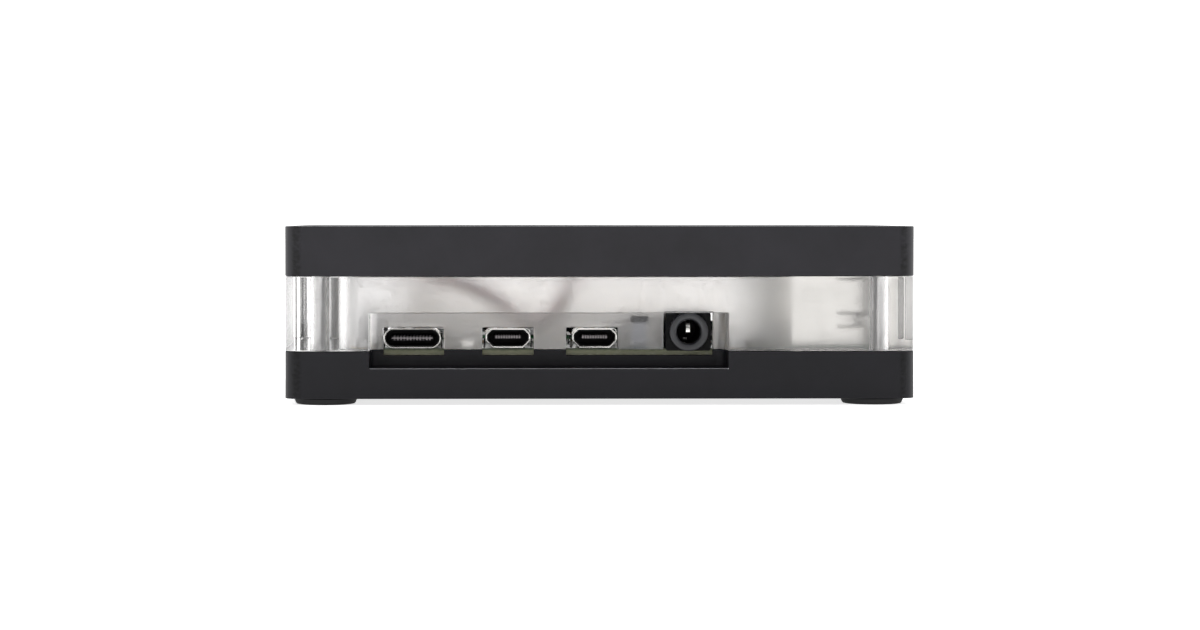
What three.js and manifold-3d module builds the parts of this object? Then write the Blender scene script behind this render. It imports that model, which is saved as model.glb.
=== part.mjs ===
// A credit-card-size single board computer in a milled three-layer case: black base, clear acrylic
// middle, black lid. Millimetres, +Z up. The origin is the centre of the surface that the rubber feet
// stand on, +X is to the right of the port side, and the port side faces -Y.
import * as THREE from 'three';
import { mergeVertices } from 'three/addons/utils/BufferGeometryUtils.js';
import Module from 'manifold-3d';

const wasm = await Module();
wasm.setup();

// ---------- driving dimensions ----------

// Case outline and the heights of its layers
const CASE_WIDTH = 97.0;
const CASE_DEPTH = 71.5;
const CORNER_RADIUS = 2.6;
const FOOT_TOP = 0.95;
const BASE_BOTTOM = 1.0;
const LOWER_JOINT = 8.3;
const UPPER_JOINT = 19.8;
const CASE_TOP = 27.5;
const JOINT_GAP = 0.03; // half the gap between two layers
const FLOOR_TOP = 3.5;
const ROOF_UNDERSIDE = 25.8;

// Circuit board: a standard 85 x 56 outline
const BOARD_LEFT = -40.15;
const BOARD_FRONT = -28;
const BOARD_WIDTH = 85;
const BOARD_DEPTH = 56;
const BOARD_TOP = 8.43;
const BOARD_THICKNESS = 1.4;
const BOARD_CORNER = 3;
const BOARD_BOTTOM = BOARD_TOP - BOARD_THICKNESS;
const BOARD_CLEARANCE = 0.3;
const SEAT = BOARD_TOP + 0.02; // where parts on the board start
const BOARD_HOLES = [[3.5, 3.5], [61.5, 3.5], [3.5, 52.5], [61.5, 52.5]];

// Pocket milled through the layers round the board
const POCKET = {
  left: BOARD_LEFT - BOARD_CLEARANCE,
  right: BOARD_LEFT + BOARD_WIDTH + BOARD_CLEARANCE,
  front: BOARD_FRONT - BOARD_CLEARANCE,
  back: BOARD_FRONT + BOARD_DEPTH + BOARD_CLEARANCE,
  corner: BOARD_CORNER + BOARD_CLEARANCE,
};

// Recess for the plugs along the front, and the windows in the wall behind it
const NOTCH = { left: -35.5, right: 19.65, bottom: 5.65, top: 14.15, depth: 6.0, radius: 1.5 };
const WINDOW_SILL = 7.4;
const WINDOW_HEAD = 11.7;
const POWER_WINDOW = [-33.5, -24.1];
const VIDEO_WINDOW_LEFT = [-18.15, -10.15];
const VIDEO_WINDOW_RIGHT = [-5.1, 2.9];
const AUDIO_WINDOW = [10.05, 17.75];

// Recess and windows of the sockets at the right end
const SOCKET_RECESS = { depth: 1.8, halfLength: 31.5, bottom: 9.9, top: 25.2 };
const SOCKET_END = 47.85;
const SOCKET_CLEARANCE = 0.35;
const DATA_SOCKET = { width: 13.1, height: 15.9, length: 17.7, wall: 0.4, centres: [-19, -1] };
const NETWORK_SOCKET = { width: 16, height: 13.4, length: 21.4, wall: 0.4, centre: 17.75 };

// Recess for the memory card at the left end
const CARD_NOTCH = { halfWidth: 10, bottom: 3.6, wallFace: -41.9, radius: 1.5 };
const CARD = { length: 15, width: 11, bottom: 5.88, thickness: 0.74, outerEnd: -42.65 };
const CARD_SOCKET = { left: -39.4, length: 13.4, width: 13.6, bottom: 5.5, slotBottom: 5.7, slotTop: 6.8 };

// Case screws, inserts and feet
const SCREW_X = 43.2;
const SCREW_Y = 31.1;
const SCREW_HOLE_RADIUS = 1.5;
const SCREW_RADIUS = 1.25;
const HEAD_RADIUS = 2.25;
const HEAD_BOTTOM = 1.5;
const HEAD_TOP = 3.95;
const COUNTERBORE_RADIUS = 2.6;
const COUNTERBORE_TOP = 4.0;
const INSERT = { outer: 1.8, inner: 1.5, bottom: 19.9, top: 24.9, hole: 2.0, holeTop: 25.2 };
const SCREW_TIP = 24.6;
const FOOT_X = 42.4;
const FOOT_Y = 30.6;
const FOOT_RADIUS = 4.9;
const FOOT_BOTTOM_RADIUS = 4.6;

// Board screws and the bosses that they go into
const BOSS_RADIUS = 3.0;
const BOSS_HOLE_RADIUS = 1.4;
const BOARD_SCREW = { radius: 1.1, headRadius: 2.35, headHeight: 1.5, tip: 3.9 };
const BOARD_HOLE_RADIUS = 1.4;

// Port connectors along the front
const PORT_FRONT = BOARD_FRONT - 1.2;
const POWER_X = -29.05;
const VIDEO_LEFT_X = -14.15;
const VIDEO_RIGHT_X = -0.65;
const POWER_SHELL = { width: 8.94, height: 3.16, length: 7.3, wall: 0.3 };
const VIDEO_SHELL = { length: 7.5, wall: 0.28 };
const AUDIO = { x: 13.97, halfWidth: 3.55, top: 14.08, back: -15.5, z: 11.05, barrel: 3.0, bore: 1.85 };
const AUDIO_FRONT = BOARD_FRONT - 2.5;
const AUDIO_BODY_FRONT = BOARD_FRONT - 0.6;
const AUDIO_BORE_END = -19.5;

// Pin headers
const PIN_PITCH = 2.54;
const PIN_WIDTH = 0.64;
const PIN_TOP = SEAT + 8.5;
const HEADER_HEIGHT = 2.5;
const MAIN_HEADER = { x: -7.65, y: 24.5, columns: 20, rows: 2 };
const SMALL_HEADER = { x: 21.35, y: 18.0, columns: 2, rows: 2 };

// Ribbon connectors, standing across the board
const RIBBON = { width: 2.3, length: 22, bodyTop: SEAT + 4.0, latchTop: SEAT + 5.1, latchWidth: 2.9 };
const RIBBON_SLOT = { width: 1.1, length: 18, bottom: SEAT + 1.0 };
const CAMERA_RIBBON = { x: 6.35, y: -16.4 };
const DISPLAY_RIBBON = { x: -36.15, y: 0 };

// Fan in the lid
const FAN = { x: -10.85, y: 4.5, size: 30, bottom: 19.8, top: 25.7, bore: 14.2, screwPitch: 24 };
const FAN_HUB_RADIUS = 6.0;
const FAN_BASE_TOP = 20.6;
const FAN_HUB_BOTTOM = 20.95;
const FAN_HUB_TOP = 25.3;
const FAN_BLADE_TIP = 13.6;
const FAN_BLADES = 7;
const FAN_BLADE_PITCH = THREE.MathUtils.degToRad(38);
const VENT = { slots: 7, width: 2.2, pitch: 3.6, radius: 13.2 };
const FLOOR_VENT = { slots: 5, width: 2.0, pitch: 4.2, length: 18 };
const LEAD_RADIUS = 0.5;
const LEAD_STEPS = 44;

// ---------- materials ----------

const finish = (color, roughness, metalness) => new THREE.MeshStandardMaterial({ color, roughness, metalness });
const BLACK_ACETAL = finish(0x2c2c2e, 0.5, 0);
const CLEAR_ACRYLIC = new THREE.MeshStandardMaterial({
  color: 0xe6e9ea,
  roughness: 0.05,
  metalness: 0,
  transparent: true,
  opacity: 0.35,
});
const BLACK_RUBBER = finish(0x1c1c1d, 0.85, 0);
const GREEN_BOARD = finish(0x2e6b3a, 0.4, 0);
const STEEL = finish(0xb9babb, 0.3, 1);
const DARK_STEEL = finish(0x2b2b2d, 0.35, 1);
const BRASS = finish(0xc9a24e, 0.3, 1);
const GOLD = finish(0xd8b765, 0.25, 1);
const BLACK_PLASTIC = finish(0x161617, 0.5, 0);
const CHIP_BLACK = finish(0x202022, 0.6, 0);
const WHITE_PLASTIC = finish(0xe4e1d8, 0.5, 0);
const RED_SLEEVE = finish(0xb02020, 0.45, 0);
const BLACK_SLEEVE = finish(0x1a1a1c, 0.45, 0);
const COPPER = finish(0xb06a3b, 0.35, 1);

// ---------- solids ----------

function toSolid(geometry) {
  const bare = geometry.clone();
  bare.deleteAttribute('normal');
  bare.deleteAttribute('uv');
  const merged = mergeVertices(bare, 1e-4);
  return new wasm.Manifold(new wasm.Mesh({
    numProp: 3,
    vertProperties: new Float32Array(merged.attributes.position.array),
    triVerts: new Uint32Array(merged.index.array),
  }));
}

function toGeometry(solid) {
  const mesh = solid.getMesh();
  const geometry = new THREE.BufferGeometry();
  geometry.setAttribute('position', new THREE.BufferAttribute(mesh.vertProperties, 3));
  geometry.setIndex(new THREE.BufferAttribute(mesh.triVerts, 1));
  geometry.computeVertexNormals();
  return geometry;
}

const join = (first, ...others) => others.reduce((solid, other) => solid.add(other), first);
const cut = (first, ...others) => others.reduce((solid, other) => solid.subtract(other), first);

function box([x0, x1], [y0, y1], [z0, z1]) {
  const geometry = new THREE.BoxGeometry(x1 - x0, y1 - y0, z1 - z0);
  return toSolid(geometry.translate((x0 + x1) / 2, (y0 + y1) / 2, (z0 + z1) / 2));
}

// A box centred at x, y
function block(x, y, width, depth, z0, z1) {
  return box([x - width / 2, x + width / 2], [y - depth / 2, y + depth / 2], [z0, z1]);
}

// An upright round bar, or a cone where the two radii differ
function rod(x, y, z0, z1, radius, segments = 24, bottomRadius = radius) {
  const geometry = new THREE.CylinderGeometry(radius, bottomRadius, z1 - z0, segments);
  return toSolid(geometry.rotateX(Math.PI / 2).translate(x, y, (z0 + z1) / 2));
}

// A round bar along Y
function barAlongY(x, z, y0, y1, radius, segments = 32) {
  const geometry = new THREE.CylinderGeometry(radius, radius, y1 - y0, segments);
  return toSolid(geometry.translate(x, (y0 + y1) / 2, z));
}

function roundedRectangle([x0, x1], [y0, y1], radius) {
  const shape = new THREE.Shape();
  shape.absarc(x1 - radius, y0 + radius, radius, -Math.PI / 2, 0);
  shape.absarc(x1 - radius, y1 - radius, radius, 0, Math.PI / 2);
  shape.absarc(x0 + radius, y1 - radius, radius, Math.PI / 2, Math.PI);
  shape.absarc(x0 + radius, y0 + radius, radius, Math.PI, Math.PI * 1.5);
  shape.closePath();
  return shape;
}

// A shape with round ends along its longer side; END_FLAT keeps the arcs' ends apart
const END_FLAT = 0.01;
function oval([x0, x1], [y0, y1]) {
  return roundedRectangle([x0, x1], [y0, y1], (y1 - y0 - END_FLAT) / 2);
}

// A flat shape raised from z0 to z1
function plate(shape, z0, z1, curveSegments = 5) {
  const geometry = new THREE.ExtrudeGeometry(shape, { depth: z1 - z0, bevelEnabled: false, curveSegments });
  return toSolid(geometry.translate(0, 0, z0));
}

// A shape drawn in x and z, carried along Y from y0 to y1
function profileAlongY(shape, y0, y1, curveSegments = 6) {
  const geometry = new THREE.ExtrudeGeometry(shape, { depth: y1 - y0, bevelEnabled: false, curveSegments });
  return toSolid(geometry.rotateX(Math.PI / 2).translate(0, y1, 0));
}

const pieces = new THREE.Group();

function addPiece(name, solid, material) {
  const mesh = new THREE.Mesh(toGeometry(solid), material);
  mesh.name = name;
  pieces.add(mesh);
}

const CORNERS = [
  ['front_left', -1, -1],
  ['front_right', 1, -1],
  ['back_left', -1, 1],
  ['back_right', 1, 1],
];
const holePlaces = BOARD_HOLES.map(([x, y]) => [BOARD_LEFT + x, BOARD_FRONT + y]);

// ---------- case ----------

const caseOutline = roundedRectangle(
  [-CASE_WIDTH / 2, CASE_WIDTH / 2],
  [-CASE_DEPTH / 2, CASE_DEPTH / 2],
  CORNER_RADIUS,
);
const pocketOutline = roundedRectangle(
  [POCKET.left, POCKET.right],
  [POCKET.front, POCKET.back],
  POCKET.corner,
);
const caseLayer = (z0, z1) => plate(caseOutline, z0, z1, 6);
const pocket = (z0, z1) => plate(pocketOutline, z0, z1, 4);

// The plug recess: open at the front face, with the end mill's radius in its two inner corners
function frontNotch(z0, z1) {
  const face = -CASE_DEPTH / 2;
  const end = face + NOTCH.depth;
  const outside = roundedRectangle([NOTCH.left, NOTCH.right], [face - NOTCH.depth, end], NOTCH.radius);
  return plate(outside, z0, z1, 4);
}

// The finger recess for the memory card: open at the left face
function cardNotch(z0, z1) {
  const face = -CASE_WIDTH / 2;
  const depth = CARD_NOTCH.wallFace - face;
  const outline = roundedRectangle(
    [face - depth, CARD_NOTCH.wallFace],
    [-CARD_NOTCH.halfWidth, CARD_NOTCH.halfWidth],
    CARD_NOTCH.radius,
  );
  return plate(outline, z0, z1, 4);
}

// A window through the thin wall between the front notch and the board
function frontWindow([x0, x1], z0, z1) {
  return box([x0, x1], [-CASE_DEPTH / 2 + NOTCH.depth - 1, POCKET.front + 1], [z0, z1]);
}

// The shallow recess round the sockets at the right end
function socketRecess(z0, z1) {
  const face = CASE_WIDTH / 2;
  const reach = SOCKET_RECESS.halfLength;
  return box([face - SOCKET_RECESS.depth, face + 1], [-reach, reach], [z0, z1]);
}

// A way out through the right wall for a socket
function socketWindow(centre, width, z0, z1) {
  const half = width / 2 + SOCKET_CLEARANCE;
  return box([POCKET.right - 4, CASE_WIDTH / 2 + 1], [centre - half, centre + half], [z0, z1]);
}

const cornerHoles = (z0, z1, radius) => CORNERS.map(
  ([, sideX, sideY]) => rod(sideX * SCREW_X, sideY * SCREW_Y, z0, z1, radius, 20),
);

// A slot with round ends along X
function slot(x0, x1, y, width, z0, z1) {
  return plate(oval([x0, x1], [y - width / 2, y + width / 2]), z0, z1, 3);
}

function bottomShell() {
  const top = LOWER_JOINT - JOINT_GAP;
  const above = LOWER_JOINT + 1;
  let shell = cut(caseLayer(BASE_BOTTOM, top), pocket(FLOOR_TOP, above));
  for (const [x, y] of holePlaces) {
    shell = cut(
      join(shell, rod(x, y, FLOOR_TOP - 0.5, BOARD_BOTTOM - 0.02, BOSS_RADIUS)),
      rod(x, y, FLOOR_TOP - 1, BOARD_BOTTOM + 1, BOSS_HOLE_RADIUS, 16),
    );
  }
  shell = cut(
    shell,
    frontNotch(NOTCH.bottom, above),
    cardNotch(CARD_NOTCH.bottom, above),
    frontWindow(POWER_WINDOW, WINDOW_SILL, above),
    frontWindow(VIDEO_WINDOW_LEFT, WINDOW_SILL, above),
    frontWindow([VIDEO_WINDOW_RIGHT[0], AUDIO_WINDOW[1]], WINDOW_SILL, above),
    ...cornerHoles(0, above, SCREW_HOLE_RADIUS),
    ...cornerHoles(0, COUNTERBORE_TOP, COUNTERBORE_RADIUS),
  );
  const cardGap = 0.3;
  const halfCard = CARD.width / 2 + cardGap;
  const cardSlot = [CARD.bottom - cardGap, CARD.bottom + CARD.thickness + cardGap];
  shell = cut(shell, box([CARD_NOTCH.wallFace - 1, POCKET.left + 1], [-halfCard, halfCard], cardSlot));
  for (let i = 0; i < FLOOR_VENT.slots; i += 1) {
    const y = FAN.y + (i - (FLOOR_VENT.slots - 1) / 2) * FLOOR_VENT.pitch;
    const half = FLOOR_VENT.length / 2;
    shell = cut(shell, slot(FAN.x - half, FAN.x + half, y, FLOOR_VENT.width, 0, FLOOR_TOP + 1));
  }
  return shell;
}

// The clear frame is open along the right end, where the tall sockets stand
function middleFrame() {
  const bottom = LOWER_JOINT + JOINT_GAP;
  const top = UPPER_JOINT - JOINT_GAP;
  const firstSide = DATA_SOCKET.centres[0] - DATA_SOCKET.width / 2 - SOCKET_CLEARANCE;
  const lastSide = NETWORK_SOCKET.centre + NETWORK_SOCKET.width / 2 + SOCKET_CLEARANCE;
  return cut(
    caseLayer(bottom, top),
    pocket(bottom - 1, top + 1),
    frontNotch(bottom - 1, NOTCH.top),
    frontWindow(POWER_WINDOW, bottom - 1, WINDOW_HEAD),
    frontWindow(VIDEO_WINDOW_LEFT, bottom - 1, WINDOW_HEAD),
    frontWindow(VIDEO_WINDOW_RIGHT, bottom - 1, WINDOW_HEAD),
    frontWindow(AUDIO_WINDOW, bottom - 1, NOTCH.top),
    socketRecess(SOCKET_RECESS.bottom, top + 1),
    box([POCKET.right - 4, CASE_WIDTH / 2 + 1], [firstSide, lastSide], [bottom - 1, top + 1]),
    ...cornerHoles(bottom - 1, top + 1, SCREW_HOLE_RADIUS),
  );
}

function topCover() {
  const bottom = UPPER_JOINT + JOINT_GAP;
  let cover = cut(
    caseLayer(bottom, CASE_TOP),
    pocket(bottom - 1, ROOF_UNDERSIDE),
    socketRecess(bottom - 1, SOCKET_RECESS.top),
    ...cornerHoles(bottom - 1, INSERT.holeTop, INSERT.hole),
  );
  const dataHead = SEAT + DATA_SOCKET.height + SOCKET_CLEARANCE;
  for (const centre of DATA_SOCKET.centres) {
    cover = cut(cover, socketWindow(centre, DATA_SOCKET.width, bottom - 1, dataHead));
  }
  const networkHead = SEAT + NETWORK_SOCKET.height + SOCKET_CLEARANCE;
  cover = cut(cover, socketWindow(NETWORK_SOCKET.centre, NETWORK_SOCKET.width, bottom - 1, networkHead));
  for (let i = 0; i < VENT.slots; i += 1) {
    const offset = (i - (VENT.slots - 1) / 2) * VENT.pitch;
    const half = Math.sqrt(VENT.radius ** 2 - offset ** 2);
    cover = cut(
      cover,
      slot(FAN.x - half, FAN.x + half, FAN.y + offset, VENT.width, ROOF_UNDERSIDE - 1, CASE_TOP + 1),
    );
  }
  for (const [x, y] of fanScrewPlaces()) {
    cover = cut(
      cover,
      rod(x, y, ROOF_UNDERSIDE - 1, CASE_TOP + 1, 1.5, 16),
      rod(x, y, CASE_TOP - 1.3, CASE_TOP + 0.2, 3.1, 20, 1.6),
    );
  }
  return cover;
}

function fanScrewPlaces() {
  const half = FAN.screwPitch / 2;
  return CORNERS.map(([, sideX, sideY]) => [FAN.x + sideX * half, FAN.y + sideY * half]);
}

// ---------- fasteners and feet ----------

function caseScrew(x, y) {
  const socketDepth = 1.2;
  return cut(
    join(
      rod(x, y, HEAD_BOTTOM, HEAD_TOP, HEAD_RADIUS, 20),
      rod(x, y, HEAD_TOP - 0.5, SCREW_TIP, SCREW_RADIUS, 16),
    ),
    rod(x, y, HEAD_BOTTOM - 1, HEAD_BOTTOM + socketDepth, 1.15, 6),
  );
}

function threadedInsert(x, y) {
  return cut(
    rod(x, y, INSERT.bottom, INSERT.top, INSERT.outer, 20),
    rod(x, y, INSERT.bottom - 1, INSERT.top + 1, INSERT.inner, 16),
  );
}

function boardScrew(x, y) {
  const headTop = SEAT + BOARD_SCREW.headHeight;
  return cut(
    join(
      rod(x, y, SEAT, headTop, BOARD_SCREW.headRadius - 0.3, 20, BOARD_SCREW.headRadius),
      rod(x, y, BOARD_SCREW.tip, SEAT + 0.5, BOARD_SCREW.radius, 16),
    ),
    block(x, y, 2.4, 0.6, headTop - 0.7, headTop + 1),
    block(x, y, 0.6, 2.4, headTop - 0.7, headTop + 1),
  );
}

function fanScrew(x, y) {
  const headTop = CASE_TOP - 0.1;
  return cut(
    join(
      rod(x, y, headTop - 1.0, headTop, 2.6, 20, 1.4),
      rod(x, y, FAN.bottom + 1, headTop - 0.5, 1.15, 16),
    ),
    block(x, y, 2.2, 0.55, headTop - 0.6, headTop + 1),
    block(x, y, 0.55, 2.2, headTop - 0.6, headTop + 1),
  );
}

// ---------- board and its parts ----------

function circuitBoard() {
  const outline = roundedRectangle(
    [BOARD_LEFT, BOARD_LEFT + BOARD_WIDTH],
    [BOARD_FRONT, BOARD_FRONT + BOARD_DEPTH],
    BOARD_CORNER,
  );
  const holes = holePlaces.map(([x, y]) => rod(x, y, 0, BOARD_TOP + 1, BOARD_HOLE_RADIUS, 20));
  return cut(plate(outline, BOARD_BOTTOM, BOARD_TOP, 4), ...holes);
}

// A flat oval, as wide and tall as given, standing on bottom
function ovalProfile(x, bottom, width, height) {
  return oval([x - width / 2, x + width / 2], [bottom, bottom + height]);
}

function powerShell() {
  const { width, height, length, wall } = POWER_SHELL;
  const inner = ovalProfile(POWER_X, SEAT + wall, width - 2 * wall, height - 2 * wall);
  return cut(
    profileAlongY(ovalProfile(POWER_X, SEAT, width, height), PORT_FRONT, PORT_FRONT + length),
    profileAlongY(inner, PORT_FRONT - 1, PORT_FRONT + length - wall),
  );
}

function powerInsert() {
  const { width, height, length, wall } = POWER_SHELL;
  const gap = 0.1;
  const inset = 2 * (wall + gap);
  const back = PORT_FRONT + length - wall - gap;
  const middle = SEAT + height / 2;
  const plug = ovalProfile(POWER_X, SEAT + wall + gap, width - inset, height - inset);
  const tongueHalf = 0.35;
  return join(
    profileAlongY(plug, back - 2, back),
    box([POWER_X - 3.35, POWER_X + 3.35], [PORT_FRONT + 0.6, back - 1], [middle - tongueHalf, middle + tongueHalf]),
  );
}

// The eight-sided mouth of a small video socket, pulled in by inset
function videoProfile(x, inset) {
  const bottom = SEAT + 0.05 + inset;
  const top = SEAT + 3.15 - inset;
  const half = 3.5 - inset;
  const side = 0.41 * inset;
  return new THREE.Shape([
    new THREE.Vector2(x - half + 1.05 + side, bottom),
    new THREE.Vector2(x + half - 1.05 - side, bottom),
    new THREE.Vector2(x + half, SEAT + 1.1 + side),
    new THREE.Vector2(x + half, SEAT + 2.4 - side),
    new THREE.Vector2(x + half - 0.75 - side, top),
    new THREE.Vector2(x - half + 0.75 + side, top),
    new THREE.Vector2(x - half, SEAT + 2.4 - side),
    new THREE.Vector2(x - half, SEAT + 1.1 + side),
  ]);
}

function videoShell(x) {
  const { length, wall } = VIDEO_SHELL;
  return cut(
    profileAlongY(videoProfile(x, 0), PORT_FRONT, PORT_FRONT + length),
    profileAlongY(videoProfile(x, wall), PORT_FRONT - 1, PORT_FRONT + length - wall),
  );
}

function videoInsert(x) {
  const { length, wall } = VIDEO_SHELL;
  const gap = 0.1;
  const back = PORT_FRONT + length - wall - gap;
  const middle = SEAT + 1.75;
  return join(
    profileAlongY(videoProfile(x, wall + gap), back - 2, back),
    box([x - 2.0, x + 2.0], [PORT_FRONT + 0.7, back - 1], [middle - 0.3, middle + 0.3]),
  );
}

function audioBody() {
  return cut(
    join(
      box([AUDIO.x - AUDIO.halfWidth, AUDIO.x + AUDIO.halfWidth], [AUDIO_BODY_FRONT, AUDIO.back], [SEAT, AUDIO.top]),
      barAlongY(AUDIO.x, AUDIO.z, AUDIO_FRONT, BOARD_FRONT - 0.1, AUDIO.barrel),
    ),
    barAlongY(AUDIO.x, AUDIO.z, AUDIO_FRONT - 1, AUDIO_BORE_END, AUDIO.bore, 24),
  );
}

const audioContact = () => block(AUDIO.x, -24, 0.7, 7, AUDIO.z + 1.15, AUDIO.z + 1.6);

// A two-high data socket: a folded metal shell, open to the right
function dataShell(centre) {
  const { width, height, length, wall } = DATA_SOCKET;
  const back = SOCKET_END - length;
  return cut(
    box([back, SOCKET_END], [centre - width / 2, centre + width / 2], [SEAT, SEAT + height]),
    box(
      [back + wall, SOCKET_END + 1],
      [centre - width / 2 + wall, centre + width / 2 - wall],
      [SEAT + wall, SEAT + height - wall],
    ),
  );
}

// The insert: a back block, the divider between the two mouths, and a tongue in each
function dataInsert(centre) {
  const { width, height, length, wall } = DATA_SOCKET;
  const gap = 0.1;
  const half = width / 2 - wall - gap;
  const back = SOCKET_END - length + wall + gap;
  const bottom = SEAT + wall + gap;
  const top = SEAT + height - wall - gap;
  const middle = (bottom + top) / 2;
  const across = [centre - half, centre + half];
  const tongue = (z) => box([back + 1, SOCKET_END - 1.2], [centre - 5.4, centre + 5.4], [z, z + 1.9]);
  return join(
    box([back, back + 4], across, [bottom, top]),
    box([back + 1, SOCKET_END - 0.4], across, [middle - 1.2, middle + 1.2]),
    tongue(bottom + 3.0),
    tongue(middle + 1.2 + 3.0),
  );
}

function networkShield() {
  const { width, height, length, wall, centre } = NETWORK_SOCKET;
  const back = SOCKET_END - length;
  return cut(
    box([back, SOCKET_END], [centre - width / 2, centre + width / 2], [SEAT, SEAT + height]),
    box(
      [back + wall, SOCKET_END + 1],
      [centre - width / 2 + wall, centre + width / 2 - wall],
      [SEAT + wall, SEAT + height - wall],
    ),
  );
}

// The insert with its mouth, wide for the plug and stepped down below for the plug's latch
function networkInsert() {
  const { width, height, length, wall, centre } = NETWORK_SOCKET;
  const gap = 0.1;
  const half = width / 2 - wall - gap;
  const back = SOCKET_END - length + wall + gap;
  const mouthEnd = SOCKET_END - 13;
  const slotBetween = (halfWidth, z0, z1) => box(
    [mouthEnd, SOCKET_END + 1],
    [centre - halfWidth, centre + halfWidth],
    [SEAT + z0, SEAT + z1],
  );
  return cut(
    box([back, SOCKET_END - 0.3], [centre - half, centre + half], [SEAT + wall + gap, SEAT + height - wall - gap]),
    slotBetween(5.95, 4.2, 11.0),
    slotBetween(3.1, 2.6, 5.0),
    slotBetween(2.0, 1.4, 3.0),
  );
}

function pinHeader({ x, y, columns, rows }) {
  let header = block(x, y, columns * PIN_PITCH, rows * PIN_PITCH, SEAT, SEAT + HEADER_HEIGHT);
  for (let column = 0; column < columns; column += 1) {
    for (let row = 0; row < rows; row += 1) {
      const pinX = x + (column - (columns - 1) / 2) * PIN_PITCH;
      const pinY = y + (row - (rows - 1) / 2) * PIN_PITCH;
      header = join(header, block(pinX, pinY, PIN_WIDTH, PIN_WIDTH, SEAT + 1, PIN_TOP));
    }
  }
  return header;
}

function ribbonBody({ x, y }) {
  return cut(
    block(x, y, RIBBON.width, RIBBON.length, SEAT, RIBBON.bodyTop),
    block(x, y, RIBBON_SLOT.width, RIBBON_SLOT.length, RIBBON_SLOT.bottom, RIBBON.bodyTop + 1),
  );
}

// The latch: a bar on top, with a web that reaches down into the slot
function ribbonLatch({ x, y }) {
  const gap = 0.2;
  const seat = RIBBON.bodyTop + 0.05;
  return join(
    block(x, y, RIBBON.latchWidth, RIBBON.length + 0.8, seat, RIBBON.latchTop),
    block(x, y, RIBBON_SLOT.width - 2 * gap, RIBBON_SLOT.length - 2 * gap, RIBBON_SLOT.bottom + 1, seat + 0.5),
  );
}

function processor() {
  return join(
    block(FAN.x, FAN.y, 15, 15, SEAT, SEAT + 1.0),
    plate(roundedRectangle([FAN.x - 6.8, FAN.x + 6.8], [FAN.y - 6.8, FAN.y + 6.8], 0.8), SEAT + 0.9, SEAT + 2.3, 2),
  );
}

function wirelessShield() {
  return plate(roundedRectangle([-33.65, -21.65], [8.2, 18.2], 0.8), SEAT, SEAT + 1.5, 2);
}

function cardSocket() {
  const { left, length, width, bottom, slotBottom, slotTop } = CARD_SOCKET;
  const half = CARD.width / 2 + 0.15;
  return cut(
    box([left, left + length], [-width / 2, width / 2], [bottom, BOARD_BOTTOM - 0.02]),
    box([left - 1, left + length - 0.8], [-half, half], [slotBottom, slotTop]),
  );
}

// The card, with the grip ridge at its outer end and one corner set back
function memoryCard() {
  const { length, width, bottom, thickness, outerEnd } = CARD;
  const inner = outerEnd + length;
  const half = width / 2;
  const outline = new THREE.Shape([
    new THREE.Vector2(outerEnd, -half),
    new THREE.Vector2(inner, -half),
    new THREE.Vector2(inner, half - 1.3),
    new THREE.Vector2(inner - 6.4, half - 1.3),
    new THREE.Vector2(inner - 7.4, half),
    new THREE.Vector2(outerEnd, half),
  ]);
  return join(
    plate(outline, bottom, bottom + thickness),
    box([outerEnd, outerEnd + 0.9], [-half, half], [bottom - 0.15, bottom + 0.1]),
  );
}

// ---------- fan ----------

function fanFrame() {
  const { x, y, size, bottom, top, bore } = FAN;
  const half = size / 2;
  const outline = roundedRectangle([x - half, x + half], [y - half, y + half], 2);
  let frame = cut(plate(outline, bottom, top, 3), rod(x, y, bottom - 1, top + 1, bore, 40));
  frame = join(
    frame,
    rod(x, y, bottom, FAN_BASE_TOP, FAN_HUB_RADIUS + 0.3),
    block(x, y, 1.6, 2 * bore + 1, bottom, FAN_BASE_TOP),
    block(x, y, 2 * bore + 1, 1.6, bottom, FAN_BASE_TOP),
    rod(x, y, FAN_BASE_TOP - 0.4, FAN_HUB_TOP - 1.4, 0.75, 16),
  );
  return cut(frame, ...fanScrewPlaces().map(([px, py]) => rod(px, py, bottom - 1, top + 1, 1.45, 16)));
}

const fanStator = () => cut(
  rod(FAN.x, FAN.y, FAN_BASE_TOP + 0.05, FAN_BASE_TOP + 2.6, 4.4, 24),
  rod(FAN.x, FAN.y, FAN_BASE_TOP - 1, FAN_HUB_TOP, 2.3, 20),
);

// The rotor: a cup over the stator, a bush round the pin, and seven pitched blades
function fanRotor() {
  const { x, y } = FAN;
  const reach = FAN_BLADE_TIP - FAN_HUB_RADIUS + 1;
  const middle = (FAN_HUB_BOTTOM + FAN_HUB_TOP) / 2;
  let blades;
  for (let i = 0; i < FAN_BLADES; i += 1) {
    const blade = new THREE.BoxGeometry(reach, 6.2, 0.7);
    blade.rotateX(FAN_BLADE_PITCH);
    blade.translate(FAN_BLADE_TIP - reach / 2 + 0.5, 0, middle);
    blade.rotateZ((i * 2 * Math.PI) / FAN_BLADES);
    const solid = toSolid(blade.translate(x, y, 0));
    blades = blades ? join(blades, solid) : solid;
  }
  const sweep = cut(
    rod(x, y, FAN_HUB_BOTTOM, FAN_HUB_TOP, FAN_BLADE_TIP, 40),
    rod(x, y, FAN_HUB_BOTTOM - 1, FAN_HUB_TOP + 1, FAN_HUB_RADIUS - 0.3, 24),
  );
  const cup = cut(
    rod(x, y, FAN_HUB_BOTTOM, FAN_HUB_TOP, FAN_HUB_RADIUS, 32),
    rod(x, y, FAN_HUB_BOTTOM - 1, FAN_HUB_TOP - 0.8, FAN_HUB_RADIUS - 1, 24),
  );
  const bush = cut(
    rod(x, y, FAN_HUB_BOTTOM, FAN_HUB_TOP - 0.5, 1.9, 20),
    rod(x, y, FAN_HUB_BOTTOM - 1, FAN_HUB_TOP - 1.0, 1.1, 16),
  );
  return join(cup, bush, blades.intersect(sweep));
}

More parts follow.
